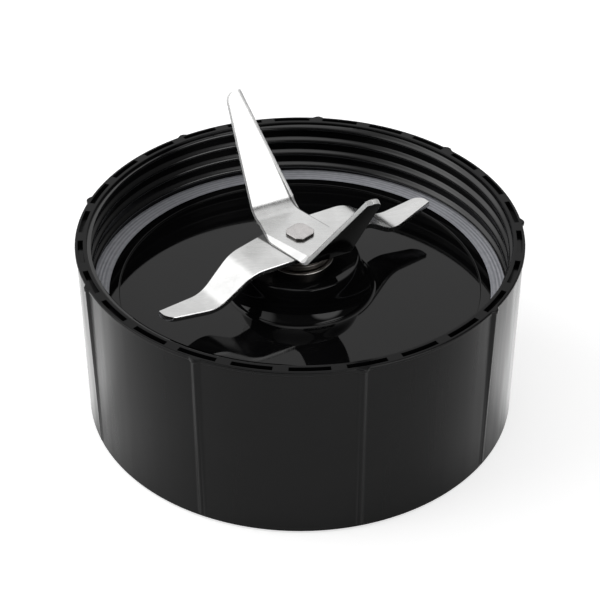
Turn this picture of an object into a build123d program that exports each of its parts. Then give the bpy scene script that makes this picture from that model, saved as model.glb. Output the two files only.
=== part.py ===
"""Cross-blade base of a personal blender: a ribbed screw-on ring that carries a spinning pair of blades.

Millimetres. The origin is the centre of the foot, +Z is the spin axis and points up into the jar.
"""

import os
from math import cos, degrees, hypot, radians, sin, tan

from build123d import *

# Skirt and rim
SKIRT_RADIUS = 41.5
SKIRT_HEIGHT = 37.2
SKIRT_WALL = 1.9
FOOT_CHAMFER = 0.5
RIM_WIDTH = 2.0
RIM_ROUND = 0.3
LIP_HEIGHT = 0.9
LIP_PROUD = 0.25

# Grip ribs on the outside of the skirt
RIB_COUNT = 9
RIB_PHASE = -75.2
RIB_WIDTH = 3.5
RIB_PROUD = 0.8
RIB_FOOT_GAP = 1.2

# Moulding pockets sunk into the rim
POCKET_COUNT = 26
POCKET_PHASE = -94.6
POCKET_WIDTH = 1.0
POCKET_SKIN = 0.3
POCKET_WEB = 2.7
POCKET_DEPTH = 1.1

# Thread that takes the jar's neck
THREAD_PITCH = 3.0
THREAD_DEPTH = 0.7
THREAD_FOOT_WIDTH = 1.7
THREAD_CREST_WIDTH = 0.4
THREAD_START_GAP = 0.45
THREAD_GASKET_GAP = 0.1
THREAD_RIM_GAP = 0.5
THREAD_AZIMUTH = -10.0
THREAD_BITE = 0.25

# Floor, gasket groove and the bead that keeps the gasket in
JAR_DEPTH = 11.9
FLOOR_THICKNESS = 2.5
GASKET_WIDTH = 3.8
GASKET_THICKNESS = 2.3
GASKET_STEP = 0.4
GASKET_UNDERCUT = 0.4
GASKET_ROUND = 0.3
BEAD_WIDTH = 1.9
BEAD_HEIGHT = 0.35
BEAD_ROUND = 0.2

# Hub in the middle of the floor
HUB_HEIGHT = 6.4
HUB_TOP_RADIUS = 11.0
HUB_FOOT_SPREAD = 3.0
HUB_FOOT_ROUND = 0.8
HUB_EDGE_ROUND = 0.4
TOWER_WALL = 2.6
STIFFENER_COUNT = 9
STIFFENER_THICKNESS = 1.6
STIFFENER_DEPTH = 4.5

# Bearing in the hub
SHAFT_RADIUS = 3.0
BUSH_RADIUS = 5.0
BUSH_LENGTH = 5.5
BUSH_SPACING = 2.0
HOUSING_SHOULDER = 0.8
HOUSING_WALL = 0.85
HOUSING_COVER = 1.0
HOUSING_GROOVE_DEPTH = 0.4
HOUSING_GROOVE_WIDTH = 2.0
SEAL_POCKET_DEPTH = 3.7
RETAINER_RADIUS = 6.35
RETAINER_WALL = 0.45
RETAINER_PROUD = 0.2
SEAL_WALL = 0.9
SEAL_LIP_RISE = 1.4
SEAL_LIP_WIDTH = 0.6
SEAL_HEADROOM = 0.3

# Clearances
SEAT_GAP = 0.02
RUNNING_CLEARANCE = 0.03
END_FLOAT = 0.1
NECK_CLEARANCE = 0.3
COUPLING_GAP = 0.3

# Collar and washers on the shaft
COLLAR_HEIGHT = 3.1
COLLAR_GAP = 0.2
COLLAR_NECK_RADIUS = 4.0
COLLAR_FLANGE_RADIUS = 5.6
COLLAR_FLANGE_HEIGHT = 1.0
COLLAR_TOP_RADIUS = 4.9
COLLAR_CHAMFER = 0.2
UPPER_WASHER_RADIUS = 4.5
UPPER_WASHER_THICKNESS = 0.5
LOWER_WASHER_RADIUS = 6.0
LOWER_WASHER_THICKNESS = 0.8
CLIP_RADIUS = 5.0
CLIP_THICKNESS = 0.7
CLIP_GROOVE_DEPTH = 0.6
CLIP_MOUTH = 4.0
CLIP_EAR_WIDTH = 1.5

# Squared end of the shaft, peened over the blades
TANG_ACROSS = 4.2
TANG_CORNER_RADIUS = 2.55
TANG_AZIMUTH = 45.0
HEAD_ACROSS = 4.6
HEAD_CORNER_RADIUS = 2.7
HEAD_HEIGHT = 0.6
HEAD_CHAMFER = 0.15

# Both blades
BLADE_THICKNESS = 1.0
GROUND_LAND = 0.15

# Upper blade: a bar with two arms bent steeply up, the same after half a turn
UPPER_AZIMUTH = 117.4
UPPER_MIDDLE_HALF_WIDTH = 6.0
UPPER_SHOULDER_X = 0.8
UPPER_BEND_X = 9.1
UPPER_BEND_ANGLE = 56.0
UPPER_BEND_RADIUS = 3.75
UPPER_LEADING_AT_BEND = 3.75
UPPER_TRAILING_AT_BEND = 5.05
UPPER_ARM_LENGTH = 24.1
UPPER_TIP_LEADING = 1.1
UPPER_TIP_TRAILING = 4.1
UPPER_TIP_ROUND = 1.9
UPPER_SHOULDER_ROUND = 3.0
UPPER_GROUND_WIDTH = 1.5
UPPER_GROUND_OVERRUN = 3.5
UPPER_ARM_GROUND_WIDTH = 0.6

# Lower blade: a tapered bar whose arms step down and run out nearly flat
LOWER_AZIMUTH = 37.0
LOWER_MIDDLE_HALF_WIDTH = 5.85
LOWER_BEND_X = 13.3
LOWER_STEP_RUN = 7.4
LOWER_STEP_DROP = 5.2
LOWER_TIP_RUN = 10.3
LOWER_TIP_RISE = 1.5
LOWER_BEND_RADIUS = 3.5
LOWER_TIP_LEADING = 1.05
LOWER_TIP_TRAILING = 1.9
LOWER_TIP_ROUND = 1.9

# Drive coupling under the floor: a cup with lobes inside, on a threaded insert
COUPLING_RADIUS = 12.0
COUPLING_RECESS = 2.5
COUPLING_WEB = 3.6
COUPLING_ROUND = 0.8
SOCKET_RADIUS = 8.3
SOCKET_LOBE_RADIUS = 1.35
SOCKET_LOBE_OFFSET = 0.6
SOCKET_LOBE_COUNT = 12
BOSS_WALL = 1.6
INSERT_ACROSS = 9.0
INSERT_HEIGHT = 4.5
SHAFT_TAIL_RADIUS = 2.5
SHAFT_TAIL_PROUD = 0.3
SHAFT_END_CHAMFER = 0.3

# Levels that follow from the sizes above
floor_level = SKIRT_HEIGHT - JAR_DEPTH
floor_under = floor_level - FLOOR_THICKNESS
hub_top = floor_level + HUB_HEIGHT
gasket_top = floor_level + GASKET_STEP
groove_level = gasket_top - GASKET_THICKNESS
groove_under = groove_level - FLOOR_THICKNESS
seal_seat = hub_top - SEAL_POCKET_DEPTH
upper_bush_foot = seal_seat - BUSH_LENGTH
lower_bush_top = upper_bush_foot - BUSH_SPACING
tower_foot = lower_bush_top - BUSH_LENGTH
housing_top = hub_top - HOUSING_COVER
grip_level = (tower_foot + floor_under) / 2
retainer_top = hub_top + RETAINER_PROUD
neck_foot = seal_seat + UPPER_WASHER_THICKNESS + END_FLOAT
collar_foot = retainer_top + COLLAR_GAP
blade_seat = hub_top + COLLAR_HEIGHT
upper_blade_foot = blade_seat + BLADE_THICKNESS
head_foot = upper_blade_foot + BLADE_THICKNESS
lower_washer_top = tower_foot - END_FLOAT
clip_top = lower_washer_top - LOWER_WASHER_THICKNESS
clip_foot = clip_top - CLIP_THICKNESS
coupling_top = clip_foot - COUPLING_GAP
socket_end = coupling_top - COUPLING_WEB
insert_foot = coupling_top - INSERT_HEIGHT
shaft_foot = insert_foot - SHAFT_TAIL_PROUD

# Radii that follow from the sizes above
bore_radius = SKIRT_RADIUS - RIM_WIDTH
gasket_outer = bore_radius + GASKET_UNDERCUT
gasket_inner = gasket_outer - GASKET_WIDTH
bead_inner = gasket_inner - BEAD_WIDTH
hollow_radius = SKIRT_RADIUS - SKIRT_WALL
housing_radius = RETAINER_RADIUS + HOUSING_WALL
tower_radius = housing_radius + TOWER_WALL
insert_corner = INSERT_ACROSS / 2 / cos(radians(30))


def turned(points):
    """Solid of revolution about Z from (radius, height) points."""
    return revolve(Plane.XZ * make_face(Polyline(*points, close=True)), Axis.Z)


def ring(inner, outer, foot, top):
    """Plain round ring between two radii and two levels."""
    return turned([(inner, foot), (outer, foot), (outer, top), (inner, top)])


def edge_circles(solid, radius, level):
    """Circular edges of a solid at one radius and level."""
    return [
        edge
        for edge in solid.edges().filter_by(GeomType.CIRCLE)
        if abs(edge.radius - radius) < 1e-3 and abs(edge.arc_center.Z - level) < 1e-3
    ]


def half_turn_pair(solid):
    """The solid and its copy turned half a turn about Z."""
    return solid + Rot(0, 0, 180) * solid


def cup_blank():
    """Turned blank of the moulding: skirt, rim, bead, floor, hub and bearing tower."""
    hub_foot_radius = HUB_TOP_RADIUS + HUB_FOOT_SPREAD
    bead_top = floor_level + BEAD_HEIGHT
    grip_radius = housing_radius - HOUSING_GROOVE_DEPTH
    blank = turned([
        (hollow_radius, 0),
        (SKIRT_RADIUS - FOOT_CHAMFER, 0),
        (SKIRT_RADIUS, FOOT_CHAMFER),
        (SKIRT_RADIUS, SKIRT_HEIGHT - LIP_HEIGHT),
        (SKIRT_RADIUS + LIP_PROUD, SKIRT_HEIGHT - LIP_HEIGHT + LIP_PROUD),
        (SKIRT_RADIUS + LIP_PROUD, SKIRT_HEIGHT),
        (bore_radius, SKIRT_HEIGHT),
        (bore_radius, gasket_top),
        (gasket_inner, gasket_top),
        (gasket_inner, bead_top),
        (bead_inner, bead_top),
        (bead_inner, floor_level),
        (hub_foot_radius, floor_level),
        (HUB_TOP_RADIUS, hub_top),
        (RETAINER_RADIUS, hub_top),
        (RETAINER_RADIUS, housing_top),
        (housing_radius, housing_top),
        (housing_radius, grip_level + HOUSING_GROOVE_WIDTH / 2),
        (grip_radius, grip_level + HOUSING_GROOVE_WIDTH / 2),
        (grip_radius, grip_level - HOUSING_GROOVE_WIDTH / 2),
        (housing_radius, grip_level - HOUSING_GROOVE_WIDTH / 2),
        (housing_radius, tower_foot),
        (tower_radius, tower_foot),
        (tower_radius, floor_under),
        (bead_inner, floor_under),
        (bead_inner, groove_under),
        (hollow_radius, groove_under),
    ])
    blank = fillet(edge_circles(blank, hub_foot_radius, floor_level), HUB_FOOT_ROUND)
    blank = fillet(edge_circles(blank, HUB_TOP_RADIUS, hub_top), HUB_EDGE_ROUND)
    blank = fillet(edge_circles(blank, bead_inner, bead_top), BEAD_ROUND)
    rim_edges = edge_circles(blank, SKIRT_RADIUS + LIP_PROUD, SKIRT_HEIGHT)
    rim_edges += edge_circles(blank, bore_radius, SKIRT_HEIGHT)
    return fillet(rim_edges, RIM_ROUND)


def grip_ribs():
    """Upright rounded ribs round the skirt: the cap of a cylinder that stands proud of the wall."""
    half = RIB_WIDTH / 2
    chord_radius = (SKIRT_RADIUS**2 - half**2) ** 0.5
    rise = SKIRT_RADIUS + RIB_PROUD - chord_radius
    cap_radius = (half**2 + rise**2) / (2 * rise)
    cap = Pos(SKIRT_RADIUS + RIB_PROUD - cap_radius, 0) * Circle(cap_radius)
    cap &= Pos(SKIRT_RADIUS + RIB_PROUD, 0) * Rectangle(2 * (rise + SKIRT_WALL / 2), RIB_WIDTH)
    rib = Pos(0, 0, RIB_FOOT_GAP) * extrude(cap, SKIRT_HEIGHT - RIB_FOOT_GAP)
    return [Rot(0, 0, RIB_PHASE + k * 360 / RIB_COUNT) * rib for k in range(RIB_COUNT)]


def rim_pockets():
    """Curved slots sunk into the rim, parted by narrow webs."""
    outer = SKIRT_RADIUS - POCKET_SKIN
    inner = outer - POCKET_WIDTH
    pitch = 360 / POCKET_COUNT
    web = degrees(POCKET_WEB / outer)
    outer_arc = CenterArc((0, 0), outer, web / 2, pitch - web)
    inner_arc = CenterArc((0, 0), inner, web / 2, pitch - web)
    ends = [Line(outer_arc @ side, inner_arc @ side) for side in (0, 1)]
    slot = make_face([outer_arc, inner_arc, *ends])
    pocket = Pos(0, 0, SKIRT_HEIGHT - POCKET_DEPTH) * extrude(slot, 2 * POCKET_DEPTH)
    return [Rot(0, 0, POCKET_PHASE + k * pitch) * pocket for k in range(POCKET_COUNT)]


def jar_thread():
    """Helical ridge on the bore wall that climbs from the gasket and runs out just under the rim."""
    half_foot = THREAD_FOOT_WIDTH / 2
    half_crest = THREAD_CREST_WIDTH / 2
    half_root = half_foot + (half_foot - half_crest) * THREAD_BITE / THREAD_DEPTH
    start = gasket_top + THREAD_START_GAP
    end = SKIRT_HEIGHT - THREAD_RIM_GAP
    climb = end + half_root - start
    path = Pos(0, 0, start) * Helix(THREAD_PITCH, climb, bore_radius)
    crest = bore_radius - THREAD_DEPTH
    root = bore_radius + THREAD_BITE
    profile = make_face(Polyline(
        (root, start - half_root),
        (root, start + half_root),
        (crest, start + half_crest),
        (crest, start - half_crest),
        close=True,
    ))
    ridge = Rot(0, 0, THREAD_AZIMUTH) * sweep(Plane.XZ * profile, path, is_frenet=True)
    return ridge & ring(crest - THREAD_BITE, SKIRT_RADIUS, gasket_top + THREAD_GASKET_GAP, end)


def floor_stiffeners():
    """Radial ribs under the floor, from the bearing tower out to the skirt."""
    inner = tower_radius - TOWER_WALL / 2
    outer = hollow_radius + SKIRT_WALL / 2
    depth = STIFFENER_DEPTH + FLOOR_THICKNESS / 2
    rib = Pos((inner + outer) / 2, 0, floor_under - STIFFENER_DEPTH + depth / 2) * Box(
        outer - inner, STIFFENER_THICKNESS, depth
    )
    return [Rot(0, 0, RIB_PHASE + k * 360 / STIFFENER_COUNT) * rib for k in range(STIFFENER_COUNT)]


def make_base_ring():
    """The one black moulding: blank, ribs, stiffeners, gasket groove, pockets and thread."""
    body = cup_blank() + grip_ribs() + floor_stiffeners()
    body -= ring(gasket_inner, gasket_outer, groove_level, gasket_top)
    body -= rim_pockets()
    return body + jar_thread()


def make_jar_gasket():
    """Flat silicone ring with rounded upper edges, lying in the groove."""
    gasket = ring(gasket_inner + SEAT_GAP, gasket_outer - SEAT_GAP, groove_level, gasket_top - SEAT_GAP)
    return fillet(gasket.edges().group_by(Axis.Z)[-1], GASKET_ROUND)


def make_bearing_housing():
    """Steel sleeve with a seat for each bush, a shoulder between them and a seal pocket on top."""
    shoulder_radius = BUSH_RADIUS - HOUSING_SHOULDER
    sleeve = turned([
        (BUSH_RADIUS, tower_foot),
        (housing_radius - SEAT_GAP, tower_foot),
        (housing_radius - SEAT_GAP, housing_top - SEAT_GAP),
        (RETAINER_RADIUS, housing_top - SEAT_GAP),
        (RETAINER_RADIUS, seal_seat),
        (BUSH_RADIUS, seal_seat),
        (BUSH_RADIUS, upper_bush_foot),
        (shoulder_radius, upper_bush_foot),
        (shoulder_radius, lower_bush_top),
        (BUSH_RADIUS, lower_bush_top),
    ])
    grip = ring(
        housing_radius - HOUSING_GROOVE_DEPTH - SEAT_GAP,
        housing_radius + HOUSING_GROOVE_DEPTH,
        grip_level - HOUSING_GROOVE_WIDTH / 2 - SEAT_GAP,
        grip_level + HOUSING_GROOVE_WIDTH / 2 + SEAT_GAP,
    )
    return sleeve - grip


def make_bush(foot):
    """Plain sintered bush with a running fit on the shaft."""
    return ring(SHAFT_RADIUS + RUNNING_CLEARANCE, BUSH_RADIUS - SEAT_GAP, foot, foot + BUSH_LENGTH)


def make_seal_retainer():
    """Bright ferrule pressed into the hub: a thin wall round the seal with a lip turned in over it."""
    outer = RETAINER_RADIUS - SEAT_GAP
    lip_bore = COLLAR_NECK_RADIUS + NECK_CLEARANCE
    ferrule = turned([
        (outer - RETAINER_WALL, seal_seat),
        (outer, seal_seat),
        (outer, retainer_top),
        (lip_bore, retainer_top),
        (lip_bore, retainer_top - RETAINER_WALL),
        (outer - RETAINER_WALL, retainer_top - RETAINER_WALL),
    ])
    return fillet(edge_circles(ferrule, outer, retainer_top), RETAINER_WALL / 2)


def make_shaft_seal():
    """Rubber lip seal: an outer wall with a lip that leans in and up onto the collar's neck."""
    outer = RETAINER_RADIUS - RETAINER_WALL - 2 * SEAT_GAP
    wall = outer - SEAL_WALL
    lip = COLLAR_NECK_RADIUS + RUNNING_CLEARANCE
    top = retainer_top - RETAINER_WALL - SEAL_HEADROOM
    return turned([
        (wall, seal_seat),
        (outer, seal_seat),
        (outer, top),
        (wall, top),
        (wall, top - SEAL_LIP_RISE / 2),
        (lip, top),
        (lip, top - SEAL_LIP_WIDTH),
        (wall, top - SEAL_LIP_RISE),
    ])


def make_blade_collar():
    """Turned spacer: a neck that runs in the seal, a flange over the ferrule and a narrower top."""
    bore = SHAFT_RADIUS + SEAT_GAP
    step = collar_foot + COLLAR_FLANGE_HEIGHT
    collar = turned([
        (bore, neck_foot),
        (COLLAR_NECK_RADIUS, neck_foot),
        (COLLAR_NECK_RADIUS, collar_foot),
        (COLLAR_FLANGE_RADIUS, collar_foot),
        (COLLAR_FLANGE_RADIUS, step),
        (COLLAR_TOP_RADIUS, step),
        (COLLAR_TOP_RADIUS, blade_seat),
        (bore, blade_seat),
    ])
    flange_edges = edge_circles(collar, COLLAR_FLANGE_RADIUS, step)
    flange_edges += edge_circles(collar, COLLAR_FLANGE_RADIUS, collar_foot)
    return chamfer(flange_edges, COLLAR_CHAMFER)


def make_upper_thrust_washer():
    """Thin plastic washer between the upper bush and the collar's neck."""
    foot = seal_seat + END_FLOAT / 2
    return ring(SHAFT_RADIUS + SEAT_GAP, UPPER_WASHER_RADIUS, foot, foot + UPPER_WASHER_THICKNESS)


def make_lower_thrust_washer():
    """Steel washer between the lower bush and the clip."""
    return ring(SHAFT_RADIUS + SEAT_GAP, LOWER_WASHER_RADIUS, clip_top, lower_washer_top)


def make_retaining_clip():
    """E-shaped clip: three ears that reach into the shaft's groove, open at one side."""
    grip = SHAFT_RADIUS - CLIP_GROOVE_DEPTH + SEAT_GAP
    clearance_radius = SHAFT_RADIUS + CLIP_GROOVE_DEPTH
    plate = Circle(CLIP_RADIUS) - Circle(clearance_radius)
    ear_reach = (clearance_radius + CLIP_RADIUS) / 2
    ear = Pos(ear_reach / 2, 0) * Rectangle(ear_reach, CLIP_EAR_WIDTH)
    for azimuth in (0, 90, 180):
        plate += Rot(0, 0, azimuth) * ear
    plate -= Circle(grip)
    plate -= Pos(0, -CLIP_RADIUS) * Rectangle(CLIP_MOUTH, 2 * (CLIP_RADIUS - grip / 2))
    return Pos(0, 0, clip_foot) * extrude(plate, CLIP_THICKNESS)


def squared_round(across, corner_radius):
    """Square with its corners turned off to a circle."""
    return Rot(0, 0, TANG_AZIMUTH) * (Circle(corner_radius) & Rectangle(across, across))


def make_drive_shaft():
    """Shaft with a squared end peened over the blades, a clip groove and a narrower threaded tail."""
    shaft = turned([
        (0, shaft_foot),
        (SHAFT_TAIL_RADIUS - SHAFT_END_CHAMFER, shaft_foot),
        (SHAFT_TAIL_RADIUS, shaft_foot + SHAFT_END_CHAMFER),
        (SHAFT_TAIL_RADIUS, coupling_top),
        (SHAFT_RADIUS, coupling_top),
        (SHAFT_RADIUS, clip_foot),
        (SHAFT_RADIUS - CLIP_GROOVE_DEPTH, clip_foot),
        (SHAFT_RADIUS - CLIP_GROOVE_DEPTH, clip_top),
        (SHAFT_RADIUS, clip_top),
        (SHAFT_RADIUS, blade_seat),
        (0, blade_seat),
    ])
    tang = extrude(squared_round(TANG_ACROSS, TANG_CORNER_RADIUS), head_foot - blade_seat)
    head = extrude(squared_round(HEAD_ACROSS, HEAD_CORNER_RADIUS), HEAD_HEIGHT)
    head = chamfer(head.edges().group_by(Axis.Z)[-1], HEAD_CHAMFER)
    return shaft + Pos(0, 0, blade_seat) * tang + Pos(0, 0, head_foot) * head


def blade_hole(foot):
    """Hole for the shaft's squared end."""
    hole = squared_round(TANG_ACROSS + 2 * SEAT_GAP, TANG_CORNER_RADIUS + SEAT_GAP)
    return Pos(0, 0, foot - BLADE_THICKNESS) * extrude(hole, 3 * BLADE_THICKNESS)


def ground_section(width):
    """Section of the stock ground off one edge of a plate, which lies on the +x side of its edge at x = 0.

    The ground face runs from the plate's top, a width inside the edge, down to the land and on past both.
    """
    cut = BLADE_THICKNESS - GROUND_LAND
    top = BLADE_THICKNESS / 2
    return make_face(Polyline(
        (2 * width, top + cut),
        (-width, top - 2 * cut),
        (-width, top + cut),
        close=True,
    ))


def ground_edge(plane, start, end, width, overrun=0.0):
    """Wedge that grinds the upper face of a plate along one straight edge.

    The plate lies on the plane, to the left of start to end. The wedge starts an overrun before start.
    """
    along = (plane.from_local_coords(end) - plane.from_local_coords(start)).normalized()
    inward = plane.z_dir.cross(along)
    length = hypot(end[0] - start[0], end[1] - start[1])
    frame = Plane(plane.from_local_coords(start) - along * overrun, x_dir=inward, z_dir=along)
    return extrude(frame * ground_section(width), length + overrun)


def make_upper_blade():
    """Bar with two tapered arms bent up, each with its leading edge ground from the inside."""
    middle = upper_blade_foot + BLADE_THICKNESS / 2
    bend = radians(UPPER_BEND_ANGLE)
    bend_radius = UPPER_BEND_RADIUS + BLADE_THICKNESS / 2
    parallel = bend_radius * tan(bend / 2)
    reach = UPPER_BEND_X + UPPER_ARM_LENGTH * cos(bend)
    rise = middle + UPPER_ARM_LENGTH * sin(bend)
    line = FilletPolyline(
        (-reach, rise),
        (-UPPER_BEND_X, middle),
        (UPPER_BEND_X, middle),
        (reach, rise),
        radius=bend_radius,
    )
    widest = 2 * UPPER_MIDDLE_HALF_WIDTH
    plate = extrude(Plane.XZ * trace(line, BLADE_THICKNESS), widest, both=True)

    # The bar's outline between the bends, and an arm's outline in its own plane
    quarter = [
        (UPPER_BEND_X, -UPPER_LEADING_AT_BEND),
        (UPPER_BEND_X, UPPER_TRAILING_AT_BEND),
        (UPPER_BEND_X - parallel, UPPER_TRAILING_AT_BEND),
        (UPPER_SHOULDER_X, UPPER_MIDDLE_HALF_WIDTH),
        (parallel - UPPER_BEND_X, UPPER_LEADING_AT_BEND),
    ]
    outline = make_face(Polyline(*quarter, *[(-x, -y) for x, y in quarter], close=True))
    shoulders = outline.vertices().sort_by(lambda v: -abs(v.Y))[:2]
    outline = fillet(shoulders, UPPER_SHOULDER_ROUND)
    bar = Pos(0, 0, middle - BLADE_THICKNESS) * extrude(outline, 2 * BLADE_THICKNESS)

    outward = (cos(bend), 0, sin(bend))
    inside = (-sin(bend), 0, cos(bend))
    arm_plane = Plane((UPPER_BEND_X, 0, middle), x_dir=outward, z_dir=inside)
    arm_outline = make_face(Polyline(
        (-parallel, -UPPER_LEADING_AT_BEND),
        (parallel, -UPPER_LEADING_AT_BEND),
        (UPPER_ARM_LENGTH, UPPER_TIP_LEADING),
        (UPPER_ARM_LENGTH, UPPER_TIP_TRAILING),
        (parallel, UPPER_TRAILING_AT_BEND),
        (-parallel, UPPER_TRAILING_AT_BEND),
        close=True,
    ))
    tip_corner = arm_outline.vertices().sort_by_distance((UPPER_ARM_LENGTH, UPPER_TIP_TRAILING))[0]
    arm_outline = fillet(tip_corner, UPPER_TIP_ROUND)
    arm = extrude(arm_plane * arm_outline, BLADE_THICKNESS, both=True)
    blade = plate & (bar + half_turn_pair(arm))

    bar_plane = Plane((0, 0, middle))
    bar_grind = ground_edge(
        bar_plane,
        (UPPER_SHOULDER_X, UPPER_MIDDLE_HALF_WIDTH),
        (parallel - UPPER_BEND_X, UPPER_LEADING_AT_BEND),
        UPPER_GROUND_WIDTH,
        UPPER_GROUND_OVERRUN,
    )
    bend_start = UPPER_BEND_X - parallel
    across = Plane((bend_start, -UPPER_LEADING_AT_BEND, middle), x_dir=(0, 1, 0), z_dir=(1, 0, 0))
    bend_axis = Axis((bend_start, 0, middle + bend_radius), (0, -1, 0))
    bend_grind = revolve(across * ground_section(UPPER_GROUND_WIDTH), bend_axis, UPPER_BEND_ANGLE)
    arm_grind = ground_edge(
        arm_plane,
        (parallel, -UPPER_LEADING_AT_BEND),
        (UPPER_ARM_LENGTH, UPPER_TIP_LEADING),
        UPPER_ARM_GROUND_WIDTH,
    )
    for grind in (bar_grind, bend_grind, arm_grind):
        blade -= half_turn_pair(grind)
    return Rot(0, 0, UPPER_AZIMUTH) * blade - blade_hole(upper_blade_foot)


def make_lower_blade():
    """Tapered bar whose arms step down over a rounded bend and end in a pointed, one-sided tip."""
    middle = blade_seat + BLADE_THICKNESS / 2
    step_x = LOWER_BEND_X + LOWER_STEP_RUN
    tip_x = step_x + LOWER_TIP_RUN
    step_z = middle - LOWER_STEP_DROP
    right_half = [(LOWER_BEND_X, middle), (step_x, step_z), (tip_x, step_z + LOWER_TIP_RISE)]
    left_half = [(-x, z) for x, z in reversed(right_half)]
    line = FilletPolyline(*left_half, *right_half, radius=LOWER_BEND_RADIUS)
    widest = 2 * LOWER_MIDDLE_HALF_WIDTH
    plate = extrude(Plane.XZ * trace(line, BLADE_THICKNESS), widest, both=True)

    half = [
        (tip_x, LOWER_TIP_TRAILING),
        (0, LOWER_MIDDLE_HALF_WIDTH),
        (-tip_x, LOWER_TIP_LEADING),
    ]
    outline = make_face(Polyline(*half, *[(-x, -y) for x, y in half], close=True))
    tip_corners = [(tip_x, LOWER_TIP_TRAILING), (-tip_x, -LOWER_TIP_TRAILING)]
    rounded = [outline.vertices().sort_by_distance(corner)[0] for corner in tip_corners]
    outline = fillet(rounded, LOWER_TIP_ROUND)
    blade = plate & extrude(outline, 2 * head_foot)
    return Rot(0, 0, LOWER_AZIMUTH) * blade - blade_hole(blade_seat)


def make_drive_coupling():
    """Cup with a lobed socket that the motor's gear goes into, and a boss round the insert."""
    cup = ring(0, COUPLING_RADIUS, COUPLING_RECESS, coupling_top)
    cup = fillet(edge_circles(cup, COUPLING_RADIUS, coupling_top), COUPLING_ROUND)
    socket = Circle(SOCKET_RADIUS)
    for k in range(SOCKET_LOBE_COUNT):
        lobe = Pos(SOCKET_RADIUS + SOCKET_LOBE_OFFSET, 0) * Circle(SOCKET_LOBE_RADIUS)
        socket += Rot(0, 0, k * 360 / SOCKET_LOBE_COUNT) * lobe
    cup -= Pos(0, 0, COUPLING_RECESS) * extrude(socket, socket_end - COUPLING_RECESS)
    boss = Pos(0, 0, insert_foot) * extrude(Circle(insert_corner + BOSS_WALL), INSERT_HEIGHT)
    pocket = Pos(0, 0, insert_foot) * extrude(RegularPolygon(insert_corner, 6), INSERT_HEIGHT)
    return cup + boss - pocket


def make_coupling_insert():
    """Hexagonal brass insert, screwed onto the shaft's tail up to its shoulder."""
    hexagon = RegularPolygon(insert_corner - SEAT_GAP, 6) - Circle(SHAFT_TAIL_RADIUS + SEAT_GAP)
    return Pos(0, 0, insert_foot) * extrude(hexagon, INSERT_HEIGHT)


pieces = {
    "base_ring": make_base_ring(),
    "jar_gasket": make_jar_gasket(),
    "bearing_housing": make_bearing_housing(),
    "upper_bush": make_bush(upper_bush_foot),
    "lower_bush": make_bush(tower_foot),
    "shaft_seal": make_shaft_seal(),
    "seal_retainer": make_seal_retainer(),
    "drive_shaft": make_drive_shaft(),
    "lower_blade": make_lower_blade(),
    "upper_blade": make_upper_blade(),
    "blade_collar": make_blade_collar(),
    "upper_thrust_washer": make_upper_thrust_washer(),
    "lower_thrust_washer": make_lower_thrust_washer(),
    "retaining_clip": make_retaining_clip(),
    "drive_coupling": make_drive_coupling(),
    "coupling_insert": make_coupling_insert(),
}

os.makedirs("parts", exist_ok=True)
for name, piece in pieces.items():
    export_step(piece, f"parts/{name}.step")
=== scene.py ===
"""Looks of a cross-blade base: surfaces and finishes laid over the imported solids.

Shapes are worked out in millimetres and written to the meshes in metres, in the frame of the solids.
"""

from math import cos, pi, radians, sin, tan

import bpy
import numpy as np
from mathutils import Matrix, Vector


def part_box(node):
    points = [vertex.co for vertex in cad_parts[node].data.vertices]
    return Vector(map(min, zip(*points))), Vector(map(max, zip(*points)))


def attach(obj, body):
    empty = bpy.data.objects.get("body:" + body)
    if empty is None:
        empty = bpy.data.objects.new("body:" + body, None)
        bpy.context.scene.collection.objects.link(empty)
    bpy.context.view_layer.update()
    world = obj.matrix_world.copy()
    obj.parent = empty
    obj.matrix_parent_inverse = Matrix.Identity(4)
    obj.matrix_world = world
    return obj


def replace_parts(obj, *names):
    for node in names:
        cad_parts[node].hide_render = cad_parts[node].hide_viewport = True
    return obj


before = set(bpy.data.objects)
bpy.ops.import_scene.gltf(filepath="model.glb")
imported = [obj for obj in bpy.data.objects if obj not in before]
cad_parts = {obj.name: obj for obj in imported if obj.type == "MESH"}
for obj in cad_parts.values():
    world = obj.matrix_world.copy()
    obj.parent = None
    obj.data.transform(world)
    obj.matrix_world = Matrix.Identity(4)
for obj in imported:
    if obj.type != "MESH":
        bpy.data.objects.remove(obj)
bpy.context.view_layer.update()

MM = 0.001

# Skirt, rim and ribs of the moulding
SKIRT_RADIUS = 41.5
SKIRT_WALL = 1.9
FOOT_CHAMFER = 0.5
RIM_WIDTH = 2.0
RIM_ROUND = 0.3
RIM_INNER_ROUND = 0.25
LIP_HEIGHT = 0.9
LIP_PROUD = 0.25
RIB_COUNT = 9
RIB_PHASE = -75.2
RIB_WIDTH = 3.5
RIB_PROUD = 0.8
RIB_FOOT_GAP = 1.2
RIB_RUN_OUT = 0.2
RIB_CREST_WIDTH = 2.0
RIB_CREST_SHARE = 0.8
RIB_FOOT_SHARE = 0.3
POCKET_COUNT = 26
POCKET_PHASE = -94.6
POCKET_WIDTH = 1.0
POCKET_SKIN = 0.3
POCKET_WEB = 2.7
POCKET_DEPTH = 1.1
POCKET_DRAFT = 0.04
POCKET_DRAFT_SHARE = 0.75

# Jar thread
THREAD_PITCH = 3.0
THREAD_DEPTH = 0.7
THREAD_FOOT_WIDTH = 1.7
THREAD_START_GAP = 0.45
THREAD_GASKET_GAP = 0.1
THREAD_RIM_GAP = 0.5
THREAD_AZIMUTH = -10.0
THREAD_BITE = 0.25
THREAD_POWER = 2.0
THREAD_RUN_IN_TURNS = 0.04
THREAD_END_SHARE = 0.3

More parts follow.
